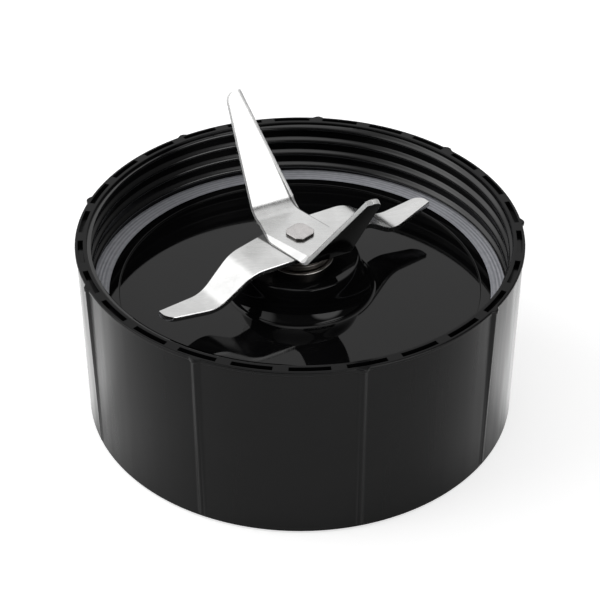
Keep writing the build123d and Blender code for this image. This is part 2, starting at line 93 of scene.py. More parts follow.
# Floor, gasket, bead, hub and tower
JAR_DEPTH = 11.9
FLOOR_THICKNESS = 2.5
GASKET_WIDTH = 3.8
GASKET_THICKNESS = 2.3
GASKET_STEP = 0.4
GASKET_UNDERCUT = 0.4
GASKET_ROUND = 0.3
GASKET_RINGS = 5
GASKET_RING_DEPTH = 0.035
BEAD_WIDTH = 1.9
BEAD_HEIGHT = 0.35
BEAD_ROUND = 0.2
HUB_HEIGHT = 6.4
HUB_TOP_RADIUS = 11.0
HUB_FOOT_SPREAD = 3.0
HUB_FOOT_ROUND = 0.8
HUB_EDGE_ROUND = 0.4
HUB_HOLLOW = 0.42
RETAINER_RADIUS = 6.35
RETAINER_WALL = 0.45
HOUSING_WALL = 0.85
HOUSING_COVER = 1.0
TOWER_WALL = 2.6
STIFFENER_COUNT = 9
STIFFENER_THICKNESS = 1.6
STIFFENER_DEPTH = 4.5
STIFFENER_ROUND = 0.15
SEAT_GAP = 0.02
NECK_CLEARANCE = 0.3

# Collar, shaft and its head
COLLAR_NECK_RADIUS = 4.0
COLLAR_FLANGE_RADIUS = 5.6
COLLAR_FLANGE_HEIGHT = 1.0
COLLAR_FLANGE_ROUND = 0.2
COLLAR_TOP_RADIUS = 4.9
COLLAR_GAP = 0.2
SHAFT_RADIUS = 3.0
SHAFT_TAIL_RADIUS = 2.5
SHAFT_END_CHAMFER = 0.3
CLIP_GROOVE_DEPTH = 0.6
TANG_ACROSS = 4.2
TANG_CORNER_RADIUS = 2.55
TANG_AZIMUTH = 45.0
HEAD_ACROSS = 4.6
HEAD_CORNER_RADIUS = 2.62
HEAD_CHAMFER = 0.15
HEAD_CROWN = 0.05
HEAD_LAST_RING_SHARE = 0.05

# Both blades, with the last four as multiples of the broken edge
BLADE_THICKNESS = 1.0
GROUND_LAND = 0.15
ARM_GROUND_EASE = 0.76
EDGE_BREAK = 0.07
FOOT_CORNER_BREAKS = 0.3
TOP_CORNER_BREAKS = 0.5
LEAST_WALL_BREAKS = 1.1
LEAST_CORNER_BREAKS = 1.5

# Upper blade
UPPER_AZIMUTH = 117.4
UPPER_MIDDLE_HALF_WIDTH = 6.0
UPPER_SHOULDER_X = 0.8
UPPER_SHOULDER_ROUND = 3.0
UPPER_BEND_X = 9.1
UPPER_BEND_ANGLE = 56.0
UPPER_BEND_RADIUS = 3.75
UPPER_LEADING_AT_BEND = 3.75
UPPER_TRAILING_AT_BEND = 5.05
UPPER_ARM_LENGTH = 24.1
UPPER_TIP_LEADING = 1.1
UPPER_TIP_TRAILING = 4.1
UPPER_TIP_ROUND = 1.9
UPPER_GROUND_WIDTH = 1.5
UPPER_GROUND_TAPER = 0.5
UPPER_GROUND_LEAST = 0.04
UPPER_ARM_GROUND_WIDTH = 0.6

# Lower blade
LOWER_AZIMUTH = 37.0
LOWER_MIDDLE_HALF_WIDTH = 5.85
LOWER_BEND_X = 13.3
LOWER_STEP_RUN = 7.4
LOWER_STEP_DROP = 5.2
LOWER_TIP_RUN = 10.3
LOWER_TIP_RISE = 1.5
LOWER_BEND_RADIUS = 6.5
LOWER_TIP_LEADING = 1.05
LOWER_TIP_TRAILING = 1.9
LOWER_TIP_ROUND = 1.9

# Drive coupling and its insert
COUPLING_RADIUS = 12.0
COUPLING_WEB = 3.6
COUPLING_ROUND = 0.8
COUPLING_EDGE_ROUND = 0.12
SOCKET_RADIUS = 8.3
SOCKET_LOBE_RADIUS = 1.35
SOCKET_LOBE_OFFSET = 0.6
SOCKET_LOBE_COUNT = 12
BOSS_WALL = 1.6
INSERT_ACROSS = 9.0
INSERT_ROUND = 0.1

# Finishes: pairs are dark and light; painted shade runs from unshaded to dark in millimetres off the upper
# blade's edge
PLASTIC_IOR = 1.46
SILICONE_IOR = 1.41
DEEP_BLACK = ((0.002, 0.002, 0.0022), (0.004, 0.004, 0.0043))
SKIRT_BLACK = ((0.0035, 0.0035, 0.0036), (0.006, 0.006, 0.0062))
SILICONE_GREY = ((0.33, 0.338, 0.37), (0.53, 0.535, 0.57))
SILICONE_RING_SHARE = 0.35
PEENED_TONES = ((0.60, 0.58, 0.575), (0.72, 0.695, 0.69))
SHEET_TINT = (0.80, 0.80, 0.795)
SHEET_DARK_SHARE = 0.86
GRAIN_SQUEEZE = 0.05
GRAIN_SHARE = 0.45
# Painted shade: its darkest level, then the painted shadow on the lower blade beside the upper blade's
# edges, and the painted dark line on the upper blade just inside them
SEAM_SHADE = 0.15
LOWER_PAINTED_SHADE = (0.35, 0.0)
UPPER_PAINTED_SHADE = (-0.3, 0.0)

# Stage floor in metres, and the ranges of its glow in mirror images, the last two with a level first
STAGE_HALF = 1.5
STAGE_DROP = 0.00005
STAGE_WHITE = 0.58
STAGE_GLOW_CENTRE = (0, 0.012, 0)
STAGE_GLOW_REACH = (0.055, 0.1)
STAGE_GLOW_ASIDE = (0.028, 0.042)
STAGE_GLOW_BEHIND = (0.8, -0.045, 0.01)
STAGE_GLOW_BESIDE = (1.05, -0.014, -0.004)

# Room in mirror images: two levels, and the range of directions over which one turns into the other
EVEN_LIGHT = 0.5
ROOM_UPWARDS = (0.3, 0.45, 0.2, 0.6)
ROOM_TO_THE_RIGHT = (1.0, 0.2, 0.3, 0.75)
ROOM_TO_THE_BACK = (0.2, 1.0, -0.7, -0.3)

# Glows of the studio in mirror images: direction, cosine at the edge, cosine where it is full, level
GLOWS = (
    ((0.0, 0.8, 0.6), 0.6, 0.93, 0.45),
    ((-0.74, 0.3, 0.6), 0.86, 0.98, 0.92),
    ((-0.87, -0.3, 0.42), 0.86, 0.96, 1.0),
    ((0.08, -0.22, 0.97), 0.86, 0.97, 0.85),
    ((0.67, -0.7, 0.24), 0.885, 0.95, 2.4),
)

# Camera: lens and sensor in millimetres, the rest in metres
CAMERA_LENS = 101.3
CAMERA_SENSOR = 36.0
CAMERA_NEAR = 0.01
CAMERA_PLACE = (0, -0.25943, 0.21486)
CAMERA_TARGET = (0, 0, 0.02127)

# Fineness of the surfaces: small lengths, points along curves and rings, angles past which edges are sharp
SMALL_ROUND = 0.06
SKIN = 0.01
GUARD = 0.03
ARC_STEPS = 7
FLOOR_ARC_STEPS = 11
SMALL_ARC_STEPS = 5
INSERT_ARC_STEPS = 4
TURN_STEPS = 288
SHELL_TURN_STEPS = 216
SMALL_TURN_STEPS = 144
SHAFT_TURN_STEPS = 192
COUPLING_TURN_STEPS = 480
INSERT_TURN_STEPS = 240
RIB_STEPS = 25
RIM_ROWS_IN_ROUND = 4
FLANK_STEPS = 24
THREAD_SECTION_STEPS = 29
THREAD_STEPS = 900
STIFFENER_STEPS = 12
GASKET_RING_STEPS = 12
HEAD_CHAMFER_STEPS = 5
HEAD_CROWN_STEPS = 9
BEND_STEPS = 25
TIP_SHARE = 0.03
UPPER_STEP = 0.2
LOWER_STEP = 0.25
USUAL_SHARP = 40
SHAFT_SHARP = 30
BLADE_SHARP = 24


def node_levels(name):
    """Foot and top of a solid in millimetres."""
    low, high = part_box(name)
    return low[2] / MM, high[2] / MM


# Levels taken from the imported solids
rim_level = node_levels("base_ring")[1]
neck_foot, blade_seat = node_levels("blade_collar")
shaft_foot, head_top = node_levels("drive_shaft")
clip_foot, clip_top = node_levels("retaining_clip")
coupling_foot, coupling_top = node_levels("drive_coupling")
insert_foot = node_levels("coupling_insert")[0]
tower_foot = node_levels("lower_bush")[0]
seal_seat, retainer_top = node_levels("seal_retainer")
floor_level = rim_level - JAR_DEPTH
floor_under = floor_level - FLOOR_THICKNESS
gasket_top = floor_level + GASKET_STEP
groove_level = gasket_top - GASKET_THICKNESS
groove_under = groove_level - FLOOR_THICKNESS
hub_top = floor_level + HUB_HEIGHT
head_foot = blade_seat + 2 * BLADE_THICKNESS

# Radii and pitches
bore_radius = SKIRT_RADIUS - RIM_WIDTH
hollow_radius = SKIRT_RADIUS - SKIRT_WALL
pocket_outer = SKIRT_RADIUS - POCKET_SKIN
gasket_outer = bore_radius + GASKET_UNDERCUT
gasket_inner = gasket_outer - GASKET_WIDTH
bead_inner = gasket_inner - BEAD_WIDTH
housing_radius = RETAINER_RADIUS + HOUSING_WALL
tower_radius = housing_radius + TOWER_WALL
insert_corner = INSERT_ACROSS / 2 / cos(radians(30))
rib_pitch = 2 * pi / RIB_COUNT
pocket_pitch = 2 * pi / POCKET_COUNT

# Bend and edges of the upper blade along its middle line
upper_bend = radians(UPPER_BEND_ANGLE)
upper_bend_radius = UPPER_BEND_RADIUS + BLADE_THICKNESS / 2
upper_bend_start = UPPER_BEND_X - upper_bend_radius * tan(upper_bend / 2)
upper_bend_end = upper_bend_start + upper_bend_radius * upper_bend
upper_lead_run = upper_bend_start + UPPER_SHOULDER_X
upper_trail_run = upper_bend_start - UPPER_SHOULDER_X
upper_lead_slope = (UPPER_MIDDLE_HALF_WIDTH - UPPER_LEADING_AT_BEND) / upper_lead_run
upper_trail_slope = (UPPER_MIDDLE_HALF_WIDTH - UPPER_TRAILING_AT_BEND) / upper_trail_run


def unit(vectors):
    """Vectors of a whole array scaled to length one."""
    return vectors / np.linalg.norm(vectors, axis=-1, keepdims=True)


def smooth_step(value):
    """Ramp from 0 to 1 with level ends: 3t² - 2t³ of the value held between 0 and 1."""
    t = np.clip(value, 0, 1)
    return t * t * (3 - 2 * t)


def corner_rounds(corners, special, usual=SMALL_ROUND):
    """Round of each corner: the usual one, apart from the corners named by their numbers."""
    rounds = np.full(len(corners), usual)
    for corner, radius in special.items():
        rounds[corner] = radius
    return rounds


def rounded_corners(corners, radii, steps=ARC_STEPS):
    """Arcs for the corners of a closed outline, one row of points for each corner.

    A corner is cut back by radius / tan(half its angle) along both sides, and the arc is the turn of
    the spoke from the arc's centre between the two cuts. A guard point on each side keeps the flats
    flat in shading.
    """
    corners = np.asarray(corners, float)
    radii = np.broadcast_to(np.asarray(radii, float), len(corners))[:, None]
    back = unit(np.roll(corners, 1, axis=0) - corners)
    ahead = unit(np.roll(corners, -1, axis=0) - corners)
    half = np.arccos(np.clip((back * ahead).sum(axis=1), -1, 1))[:, None] / 2
    cut = radii / np.tan(half)
    first = corners + cut * back
    last = corners + cut * ahead
    centre = corners + unit(back + ahead) * radii / np.sin(half)
    turn = (pi - 2 * half)[:, None]
    share = np.linspace(0, 1, steps)[None, :, None]
    from_first = np.sin((1 - share) * turn) * (first - centre)[:, None]
    to_last = np.sin(share * turn) * (last - centre)[:, None]
    arcs = centre[:, None] + (from_first + to_last) / np.sin(turn)
    before = (first + GUARD * back)[:, None]
    after = (last + GUARD * ahead)[:, None]
    return np.concatenate([before, arcs, after], axis=1)


def rounded_loop(corners, radii, steps=ARC_STEPS):
    """Closed outline as one list of points, with every corner turned into an arc."""
    return rounded_corners(corners, radii, steps).reshape(-1, 2)


def around(steps=TURN_STEPS):
    """Angles of one whole turn."""
    return np.linspace(0, 2 * pi, steps, endpoint=False)


def lathe(loop, angles):
    """Turned surface: the (radius, height) loop carried round the axis, one station for each angle."""
    loop = np.broadcast_to(loop, (len(angles), *np.shape(loop)[-2:]))
    radius, height = loop[..., 0], loop[..., 1]
    angle = angles[:, None]
    return np.stack([radius * np.cos(angle), radius * np.sin(angle), height], axis=-1)


def pushed_loops(arcs, angles, pushes):
    """Loops for all angles: the arcs of the corners named are pushed out by a length for each angle."""
    loops = np.broadcast_to(arcs, (len(angles), *arcs.shape)).copy()
    radius = loops[..., 0]
    for corners, push in pushes:
        radius[:, corners] += push[:, None, None]
    return loops.reshape(len(angles), -1, 2)


def turned_about_axis(points, degrees_round):
    """Points turned about the spin axis."""
    c, s = cos(radians(degrees_round)), sin(radians(degrees_round))
    return points @ np.array([[c, s, 0], [-s, c, 0], [0, 0, 1]])


def grid_faces(stations, section, looped):
    """Quads between neighbouring stations and neighbouring section points, and a cap on each open end."""
    i = np.arange(stations if looped else stations - 1)[:, None]
    j = np.arange(section)[None, :]
    here, there = i * section, (i + 1) % stations * section
    beside = (j + 1) % section
    quads = np.stack([here + j, here + beside, there + beside, there + j], axis=-1).reshape(-1, 4)
    first_cap = np.arange(section)[::-1]
    last_cap = (stations - 1) * section + np.arange(section)
    return quads, [] if looped else [first_cap, last_cap]


def signed_volume(points, faces):
    """Volume inside quads or caps, positive where they face outwards: tetrahedra from the origin."""
    first, second, third = points[faces[:, :1]], points[faces[:, 1:-1]], points[faces[:, 2:]]
    return (first * np.cross(second, third)).sum() / 6


def add_surface(
    name, grids, finishes, body, nodes, looped=False, finish_of=None, sharp=USUAL_SHARP
):
    """Mesh piece from grids of points shaped (copies, stations, section, 3), closed along the section.

    finish_of gives the index of the finish for each section point, from it to the next.
    """
    grids = np.asarray(grids, float)
    grids = grids[None] if grids.ndim == 3 else grids
    copies, stations, section, _ = grids.shape
    quads, caps = grid_faces(stations, section, looped)
    one = grids[0].reshape(-1, 3)
    volume = signed_volume(one, quads) + sum(signed_volume(one, cap[None]) for cap in caps)
    if volume < 0:
        quads, caps = quads[:, ::-1], [cap[::-1] for cap in caps]
    start = np.arange(copies)[:, None, None] * len(one)
    faces = (quads[None] + start).reshape(-1, 4).tolist()
    faces += [face for cap in caps for face in (cap[None] + start[:, 0]).tolist()]
    mesh = bpy.data.meshes.new(name)
    mesh.from_pydata(grids.reshape(-1, 3) * MM, [], faces)
    for finish in finishes:
        mesh.materials.append(finish)
    if finish_of is not None:
        index = np.zeros(len(faces), np.int32)
        rows = np.tile(np.asarray(finish_of, np.int32), len(quads) // section * copies)
        index[: len(rows)] = rows
        mesh.polygons.foreach_set("material_index", index)
    mesh.shade_smooth()
    mesh.set_sharp_from_angle(angle=radians(sharp))
    mesh.update()
    piece = bpy.data.objects.new(name, mesh)
    bpy.context.scene.collection.objects.link(piece)
    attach(piece, body)
    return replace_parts(piece, *nodes)


def add_turned(name, loop, angles, finishes, body, node, finish_of=None):
    """Turned piece in place of a solid: a closed loop, or one for each angle, carried round the axis."""
    add_surface(name, lathe(loop, angles), finishes, body, [node], looped=True, finish_of=finish_of)


def new_finish(name, sockets):
    """Material whose shader has these plain values. Returns the material, its tree and its shader."""
    material = bpy.data.materials.new(name)
    material.use_nodes = True
    shader = material.node_tree.nodes["Principled BSDF"]
    for socket, value in sockets.items():
        shader.inputs[socket].default_value = value
    return material, material.node_tree, shader


def add_node(tree, kind, inputs=None, **settings):
    """Shader node with its settings, and its inputs linked from a socket or set to a plain value."""
    made = tree.nodes.new("ShaderNode" + kind)
    for setting, value in settings.items():
        setattr(made, setting, value)
    for name, value in (inputs or {}).items():
        if isinstance(value, bpy.types.NodeSocket):
            tree.links.new(value, made.inputs[name])
        else:
            made.inputs[name].default_value = value
    return made


def reckon(tree, operation, *values):
    """Result of one sum on sockets and plain numbers."""
    return add_node(tree, "Math", dict(enumerate(values)), operation=operation).outputs[0]


def reckon_vector(tree, operation, result, inputs):
    """Result of one sum on vectors, under the result's own name."""
    return add_node(tree, "VectorMath", inputs, operation=operation).outputs[result]


def object_place(tree, scale=(1, 1, 1), turn=0.0):
    """Object coordinates, turned about the spin axis and stretched."""
    place = add_node(tree, "TexCoord").outputs["Object"]
    settings = {"Vector": place, "Scale": scale, "Rotation": (0, 0, radians(turn))}
    return add_node(tree, "Mapping", settings).outputs["Vector"]


def noise(tree, place, scale, detail=3.0, roughness=0.55):
    """Noise value at a place."""
    settings = {"Vector": place, "Scale": scale, "Detail": detail, "Roughness": roughness}
    return add_node(tree, "TexNoise", settings).outputs["Fac"]


def spread(tree, value, low, high, start=0.3, end=0.7, **settings):
    """A value from start to end mapped to low to high."""
    inputs = {"Value": value, "From Min": start, "From Max": end, "To Min": low, "To Max": high}
    return add_node(tree, "MapRange", inputs, **settings).outputs["Result"]


def two_tone(tree, value, dark, light, start=0.3, end=0.7):
    """Colour ramp between two colours."""
    ramp = add_node(tree, "ValToRGB", {"Fac": value})
    for element, position, tone in zip(ramp.color_ramp.elements, (start, end), (dark, light)):
        element.position = position
        element.color = (*tone, 1)
    return ramp.outputs["Color"]


def link_finish(tree, shader, colour, rough, relief, strength, depth=0.02):
    """Colour and roughness of the shader, and a bump of some hundredths of a millimetre on its normal."""
    tree.links.new(colour, shader.inputs["Base Color"])
    tree.links.new(rough, shader.inputs["Roughness"])
    settings = {"Height": relief, "Strength": strength, "Distance": depth * MM}
    tree.links.new(add_node(tree, "Bump", settings).outputs["Normal"], shader.inputs["Normal"])


def axis_distance(tree):
    """Distance from the spin axis in metres: the length of the place with its height taken out."""
    place = add_node(tree, "TexCoord").outputs["Object"]
    flat = reckon_vector(tree, "MULTIPLY", "Vector", {0: place, 1: (1, 1, 0)})
    return reckon_vector(tree, "LENGTH", "Value", {0: flat})


def polished_plastic():
    """Black floor from a polished tool: deep gloss with a trace of flow lines in its roughness."""
    sockets = {"IOR": PLASTIC_IOR, "Specular IOR Level": 0.3}
    material, tree, shader = new_finish("polished_plastic", sockets)
    place = object_place(tree)
    colour = two_tone(tree, noise(tree, place, scale=60.0), *DEEP_BLACK)
    rough = spread(tree, noise(tree, place, scale=180.0, detail=4.0), low=0.025, high=0.06)
    relief = noise(tree, place, scale=90.0, detail=1.0)
    link_finish(tree, shader, colour, rough, relief, strength=0.04)
    return material


def moulded_plastic(name, gloss, low, high):
    """Black rim and thread: even moulded gloss, a little softer than the floor."""
    material, tree, shader = new_finish(name, {"IOR": PLASTIC_IOR, "Specular IOR Level": gloss})
    place = object_place(tree)
    colour = two_tone(tree, noise(tree, place, scale=70.0), *DEEP_BLACK)
    rough = spread(tree, noise(tree, place, scale=300.0, detail=4.0), low, high)
    relief = noise(tree, place, scale=1500.0, detail=2.0)
    link_finish(tree, shader, colour, rough, relief, strength=0.05)
    return material


def satin_plastic():
    """Black skirt: fine sparked grain, faint upright drag marks and a softer gloss."""
    sockets = {"IOR": PLASTIC_IOR, "Specular IOR Level": 0.3}
    material, tree, shader = new_finish("satin_plastic", sockets)
    place = object_place(tree)
    drag = noise(tree, object_place(tree, scale=(1, 1, 0.06)), scale=420.0)
    colour = two_tone(tree, noise(tree, place, scale=45.0), *SKIRT_BLACK)
    rough = spread(tree, drag, low=0.26, high=0.36)
    relief = noise(tree, place, scale=2600.0, detail=2.0)
    link_finish(tree, shader, colour, rough, relief, strength=0.12)
    return material


def gasket_silicone():
    """Grey silicone: a sine of the distance from the axis darkens rings on a dusty, mottled surface."""
    sockets = {"IOR": SILICONE_IOR, "Specular IOR Level": 0.35}
    material, tree, shader = new_finish("gasket_silicone", sockets)
    ring_scale = 2 * pi * GASKET_RINGS / (GASKET_WIDTH * MM)
    rings = reckon(tree, "SINE", reckon(tree, "MULTIPLY", axis_distance(tree), ring_scale))
    speckle = noise(tree, object_place(tree), scale=900.0, detail=4.0)
    mixed = reckon(tree, "MULTIPLY_ADD", rings, SILICONE_RING_SHARE, speckle)
    colour = two_tone(tree, mixed, *SILICONE_GREY, start=0.1, end=0.9)
    rough = spread(tree, speckle, low=0.42, high=0.6)
    link_finish(tree, shader, colour, rough, speckle, strength=0.2)
    return material


def leading_edge_margin(tree):
    """Distance outside the leading edges of the upper blade's middle in metres.

    In the blade's own directions the two edges are the lines where |y - slope x| is the offset of an
    edge.
    """
    place = add_node(tree, "SeparateXYZ", {0: object_place(tree, turn=-UPPER_AZIMUTH)}).outputs
    across = reckon(tree, "MULTIPLY_ADD", place["X"], -upper_lead_slope, place["Y"])
    offset = (UPPER_MIDDLE_HALF_WIDTH - upper_lead_slope * UPPER_SHOULDER_X) * MM
    return reckon(tree, "SUBTRACT", reckon(tree, "ABSOLUTE", across), offset)


def brushed_steel(name, turn, tint, low, high, edge_shade=None):
    """Stainless sheet with faint mottling and a fine grain along one direction about the spin axis.

    Painted shade, where given, is a range of distances from the upper blade's leading edges, unshaded at
    its first end and dark at its last: a painted shadow on the lower blade, a painted dark line on the
    upper.
    """
    material, tree, shader = new_finish(name, {"Metallic": 1.0})
    grain = noise(tree, object_place(tree, (GRAIN_SQUEEZE, 1, 1), turn), scale=2400.0, detail=4.0)
    mottle = noise(tree, object_place(tree), scale=260.0)
    blend = reckon(tree, "MULTIPLY_ADD", grain, GRAIN_SHARE, mottle)
    dark = tuple(SHEET_DARK_SHARE * part for part in tint)
    colour = two_tone(tree, blend, dark, tint, start=0.5, end=0.95)
    # Painted shade: the colour darkens towards the upper blade's leading edges
    if edge_shade:
        unshaded, shaded = edge_shade
        shade = spread(tree, leading_edge_margin(tree), 1.0, SEAM_SHADE, unshaded * MM, shaded * MM)
        colour = reckon_vector(tree, "SCALE", "Vector", {0: colour, "Scale": shade})
    rough = spread(tree, grain, low, high)
    link_finish(tree, shader, colour, rough, grain, strength=0.05, depth=0.01)
    return material


def turned_steel(name, dark, light, low=0.16, high=0.34):
    """Lathe-turned steel: fine rings about the spin axis and faint stains."""
    material, tree, shader = new_finish(name, {"Metallic": 1.0})
    radius = axis_distance(tree)
    height = add_node(tree, "SeparateXYZ", {0: object_place(tree)}).outputs["Z"]
    ring_place = add_node(tree, "CombineXYZ", {"X": radius, "Y": height}).outputs["Vector"]
    rings = noise(tree, ring_place, scale=5200.0)
    stain = noise(tree, object_place(tree), scale=420.0)
    colour = two_tone(tree, stain, dark, light)
    rough = spread(tree, rings, low, high)
    link_finish(tree, shader, colour, rough, rings, strength=0.18, depth=0.012)
    return material


def peened_steel():
    """Head of the shaft: struck flat, with soft dimples and a faint warm cast."""
    material, tree, shader = new_finish("peened_steel", {"Metallic": 1.0})
    dimples = noise(tree, object_place(tree), scale=700.0, detail=2.0)
    grain = noise(tree, object_place(tree, scale=(1, 0.2, 1)), scale=2600.0, detail=4.0)
    colour = two_tone(tree, dimples, *PEENED_TONES)
    rough = spread(tree, grain, low=0.22, high=0.4)
    link_finish(tree, shader, colour, rough, dimples, strength=0.3, depth=0.04)
    return material


def soft_finish(name, dark, light, scale, low, high, metallic=0.0, strength=0.1):
    """Plain machined or moulded stock: mottled colour, uneven roughness and a shallow grain."""
    material, tree, shader = new_finish(name, {"Metallic": metallic})
    grain = noise(tree, object_place(tree), scale, detail=4.0)
    colour = two_tone(tree, grain, dark, light)
    rough = spread(tree, grain, low, high)
    link_finish(tree, shader, colour, rough, grain, strength)
    return material


def rib_rise(angles, width):
    """How far the ribs stand out of the skirt at each angle: a raised cosine across a rib."""
    off = (angles - radians(RIB_PHASE) + rib_pitch / 2) % rib_pitch - rib_pitch / 2
    across = np.clip(off * SKIRT_RADIUS / (width / 2), -1, 1)
    return (RIB_PROUD - SKIN) * (1 + np.cos(pi * across)) / 2


def shell_angles():
    """Angles of the shell: an even turn, with more at the ribs and a close pair at each pocket's ends."""
    rib_edge = RIB_WIDTH / 2 / SKIRT_RADIUS
    rib_steps = np.linspace(-rib_edge, rib_edge, RIB_STEPS)
    ribs = radians(RIB_PHASE) + np.arange(RIB_COUNT)[:, None] * rib_pitch + rib_steps
    web = POCKET_WEB / 2 / pocket_outer
    draft = POCKET_DRAFT / pocket_outer
    ends = np.array([web, web + draft, pocket_pitch - web - draft, pocket_pitch - web])
    pockets = radians(POCKET_PHASE) + np.arange(POCKET_COUNT)[:, None] * pocket_pitch + ends
    more = np.concatenate([ribs.ravel(), pockets.ravel()]) % (2 * pi)
    return np.unique(np.concatenate([around(SHELL_TURN_STEPS), more]).round(6))


def in_pocket(angles):
    """True where an angle lies inside a rim pocket, past its drafted end."""
    web = (POCKET_WEB / 2 + POCKET_DRAFT_SHARE * POCKET_DRAFT) / pocket_outer
    off = (angles - radians(POCKET_PHASE)) % pocket_pitch
    return (off > web) & (off < pocket_pitch - web)


def add_shell(skirt_finish, rim_finish):
    """Skirt, rim and bore: a closed profile turned about the axis.

    The outer wall is pushed out by the ribs' rise, less at their feet than under the lip, and the lip
    by the wider knob on each rib. The rim's middle rows drop by the pocket's depth where the angle lies
    in a pocket.
    """
    lip = SKIRT_RADIUS + LIP_PROUD - SKIN
    corners = [
        (hollow_radius, 0),
        (SKIRT_RADIUS - FOOT_CHAMFER, 0),
        (SKIRT_RADIUS, FOOT_CHAMFER),
        (SKIRT_RADIUS, rim_level - LIP_HEIGHT),
        (lip, rim_level - LIP_HEIGHT + LIP_PROUD),
        (lip, rim_level),
        (bore_radius, rim_level),
        (bore_radius, gasket_top),
        (gasket_outer, gasket_top),
        (gasket_outer, groove_level),
        (gasket_inner, groove_level),
        (gasket_inner, groove_under),
        (hollow_radius, groove_under),
    ]
    arcs = rounded_corners(corners, corner_rounds(corners, {5: RIM_ROUND, 6: RIM_INNER_ROUND}))
    pocket_inner = pocket_outer - POCKET_WIDTH
    rib_foot = np.array([(SKIRT_RADIUS, RIB_FOOT_GAP - RIB_RUN_OUT), (SKIRT_RADIUS, RIB_FOOT_GAP)])
    rim_rows = np.array([
        (pocket_outer, rim_level),
        (pocket_outer - POCKET_DRAFT, rim_level),
        (pocket_inner + POCKET_DRAFT, rim_level),
        (pocket_inner, rim_level),
    ])
    foot_arcs, lip_arcs, inner_arcs = (part.reshape(-1, 2) for part in np.split(arcs, [3, 6]))
    loop = np.concatenate([foot_arcs, rib_foot, lip_arcs, rim_rows, inner_arcs])

    # Rows of the loop where the ribs, the lip, its round and the rim begin
    rows_in_arc = arcs.shape[1]
    rib_row = len(foot_arcs) + 1
    rim_row = len(foot_arcs) + len(rib_foot) + len(lip_arcs)
    round_row = rim_row - rows_in_arc
    lip_row = round_row - rows_in_arc

    angles = shell_angles()
    loops = np.broadcast_to(loop, (len(angles), *loop.shape)).copy()
    radius, height = loops[..., 0], loops[..., 1]
    crest = rib_rise(angles, RIB_CREST_WIDTH)[:, None]
    knob = SKIRT_RADIUS + rib_rise(angles, RIB_WIDTH)[:, None]
    radius[:, rib_row : rib_row + 1] += RIB_FOOT_SHARE * crest
    radius[:, rib_row + 1 : lip_row] += RIB_CREST_SHARE * crest
    radius[:, lip_row:round_row] = np.maximum(radius[:, lip_row:round_row], knob)
    radius[:, round_row:rim_row] += np.maximum(knob - lip, 0)
    height[:, rim_row + 1 : rim_row + 3] -= np.where(in_pocket(angles), POCKET_DEPTH, 0.0)[:, None]
    finish_of = np.zeros(len(loop), int)
    finish_of[rim_row - RIM_ROWS_IN_ROUND : -rows_in_arc] = 1
    finishes = [skirt_finish, rim_finish]
    add_turned("base_shell", loops, angles, finishes, "base", "base_ring", finish_of)


def add_floor(finish):
    """Floor, bead, hub and bearing tower: a closed profile turned about the axis.

    The hub's flank flares at its foot: it is drawn in by s times the square of 1 - s, with s from foot
    to top. That product is 4/27 at most, so 27/4 makes the deepest place as deep as the hollow.
    """
    bead_top = floor_level + BEAD_HEIGHT
    housing_top = hub_top - HOUSING_COVER
    corners = [
        (housing_radius, tower_foot),
        (tower_radius, tower_foot),
        (tower_radius, floor_under),
        (bead_inner, floor_under),
        (bead_inner, groove_under),
        (gasket_inner, groove_under),
        (gasket_inner, bead_top),
        (bead_inner, bead_top),
        (bead_inner, floor_level),
        (HUB_TOP_RADIUS + HUB_FOOT_SPREAD, floor_level),
        (HUB_TOP_RADIUS, hub_top),
        (RETAINER_RADIUS, hub_top),
        (RETAINER_RADIUS, housing_top),
        (housing_radius, housing_top),
    ]
    bead_edge, hub_foot, hub_edge = 7, 9, 10
    rounds = {bead_edge: BEAD_ROUND, hub_foot: HUB_FOOT_ROUND, hub_edge: HUB_EDGE_ROUND}
    arcs = rounded_corners(corners, corner_rounds(corners, rounds), FLOOR_ARC_STEPS)
    share = np.linspace(0, 1, FLANK_STEPS)[1:-1, None]
    flank = arcs[hub_foot, -1] + share * (arcs[hub_edge, 0] - arcs[hub_foot, -1])
    flank[:, 0] -= 27 / 4 * HUB_HOLLOW * (share * (1 - share) ** 2)[:, 0]
    below, above = arcs[:hub_edge].reshape(-1, 2), arcs[hub_edge:].reshape(-1, 2)
    loop = np.concatenate([below, flank, above])
    add_turned("base_floor", loop, around(), [finish], "base", "base_ring")


def add_thread(finish):
    """Jar thread: a ridge carried up a helix, its reach a power of a raised cosine of its height.

    The ridge is as wide at the wall as the thread's foot. A point's height is the helix's height plus
    its own, held between gasket and rim, and the ridge sinks towards the wall at both ends.
    """
    rise = THREAD_DEPTH + THREAD_BITE
    cosine_at_wall = 2 * (THREAD_BITE / rise) ** (1 / THREAD_POWER) - 1
    half_root = pi * THREAD_FOOT_WIDTH / 2 / np.arccos(cosine_at_wall)
    across = np.linspace(-half_root, half_root, THREAD_SECTION_STEPS)
    ridge = rise * ((1 + np.cos(pi * across / half_root)) / 2) ** THREAD_POWER
    start = gasket_top + THREAD_START_GAP
    low = gasket_top + THREAD_GASKET_GAP
    end = rim_level - THREAD_RIM_GAP
    turns = (end + THREAD_FOOT_WIDTH / 2 - start) / THREAD_PITCH
    travel = np.linspace(0, turns, THREAD_STEPS)[:, None]
    run_in = smooth_step(np.minimum(travel, turns - travel) / THREAD_RUN_IN_TURNS)
    reach = ridge * (THREAD_END_SHARE + (1 - THREAD_END_SHARE) * run_in)
    radius = bore_radius + THREAD_BITE - reach
    height = np.clip(start + THREAD_PITCH * travel + across, low, end)
    angle = radians(THREAD_AZIMUTH) + 2 * pi * travel
    grid = np.stack([radius * np.cos(angle), radius * np.sin(angle), height], axis=-1)
    add_surface("jar_thread", grid, [finish], "base", ["base_ring"])


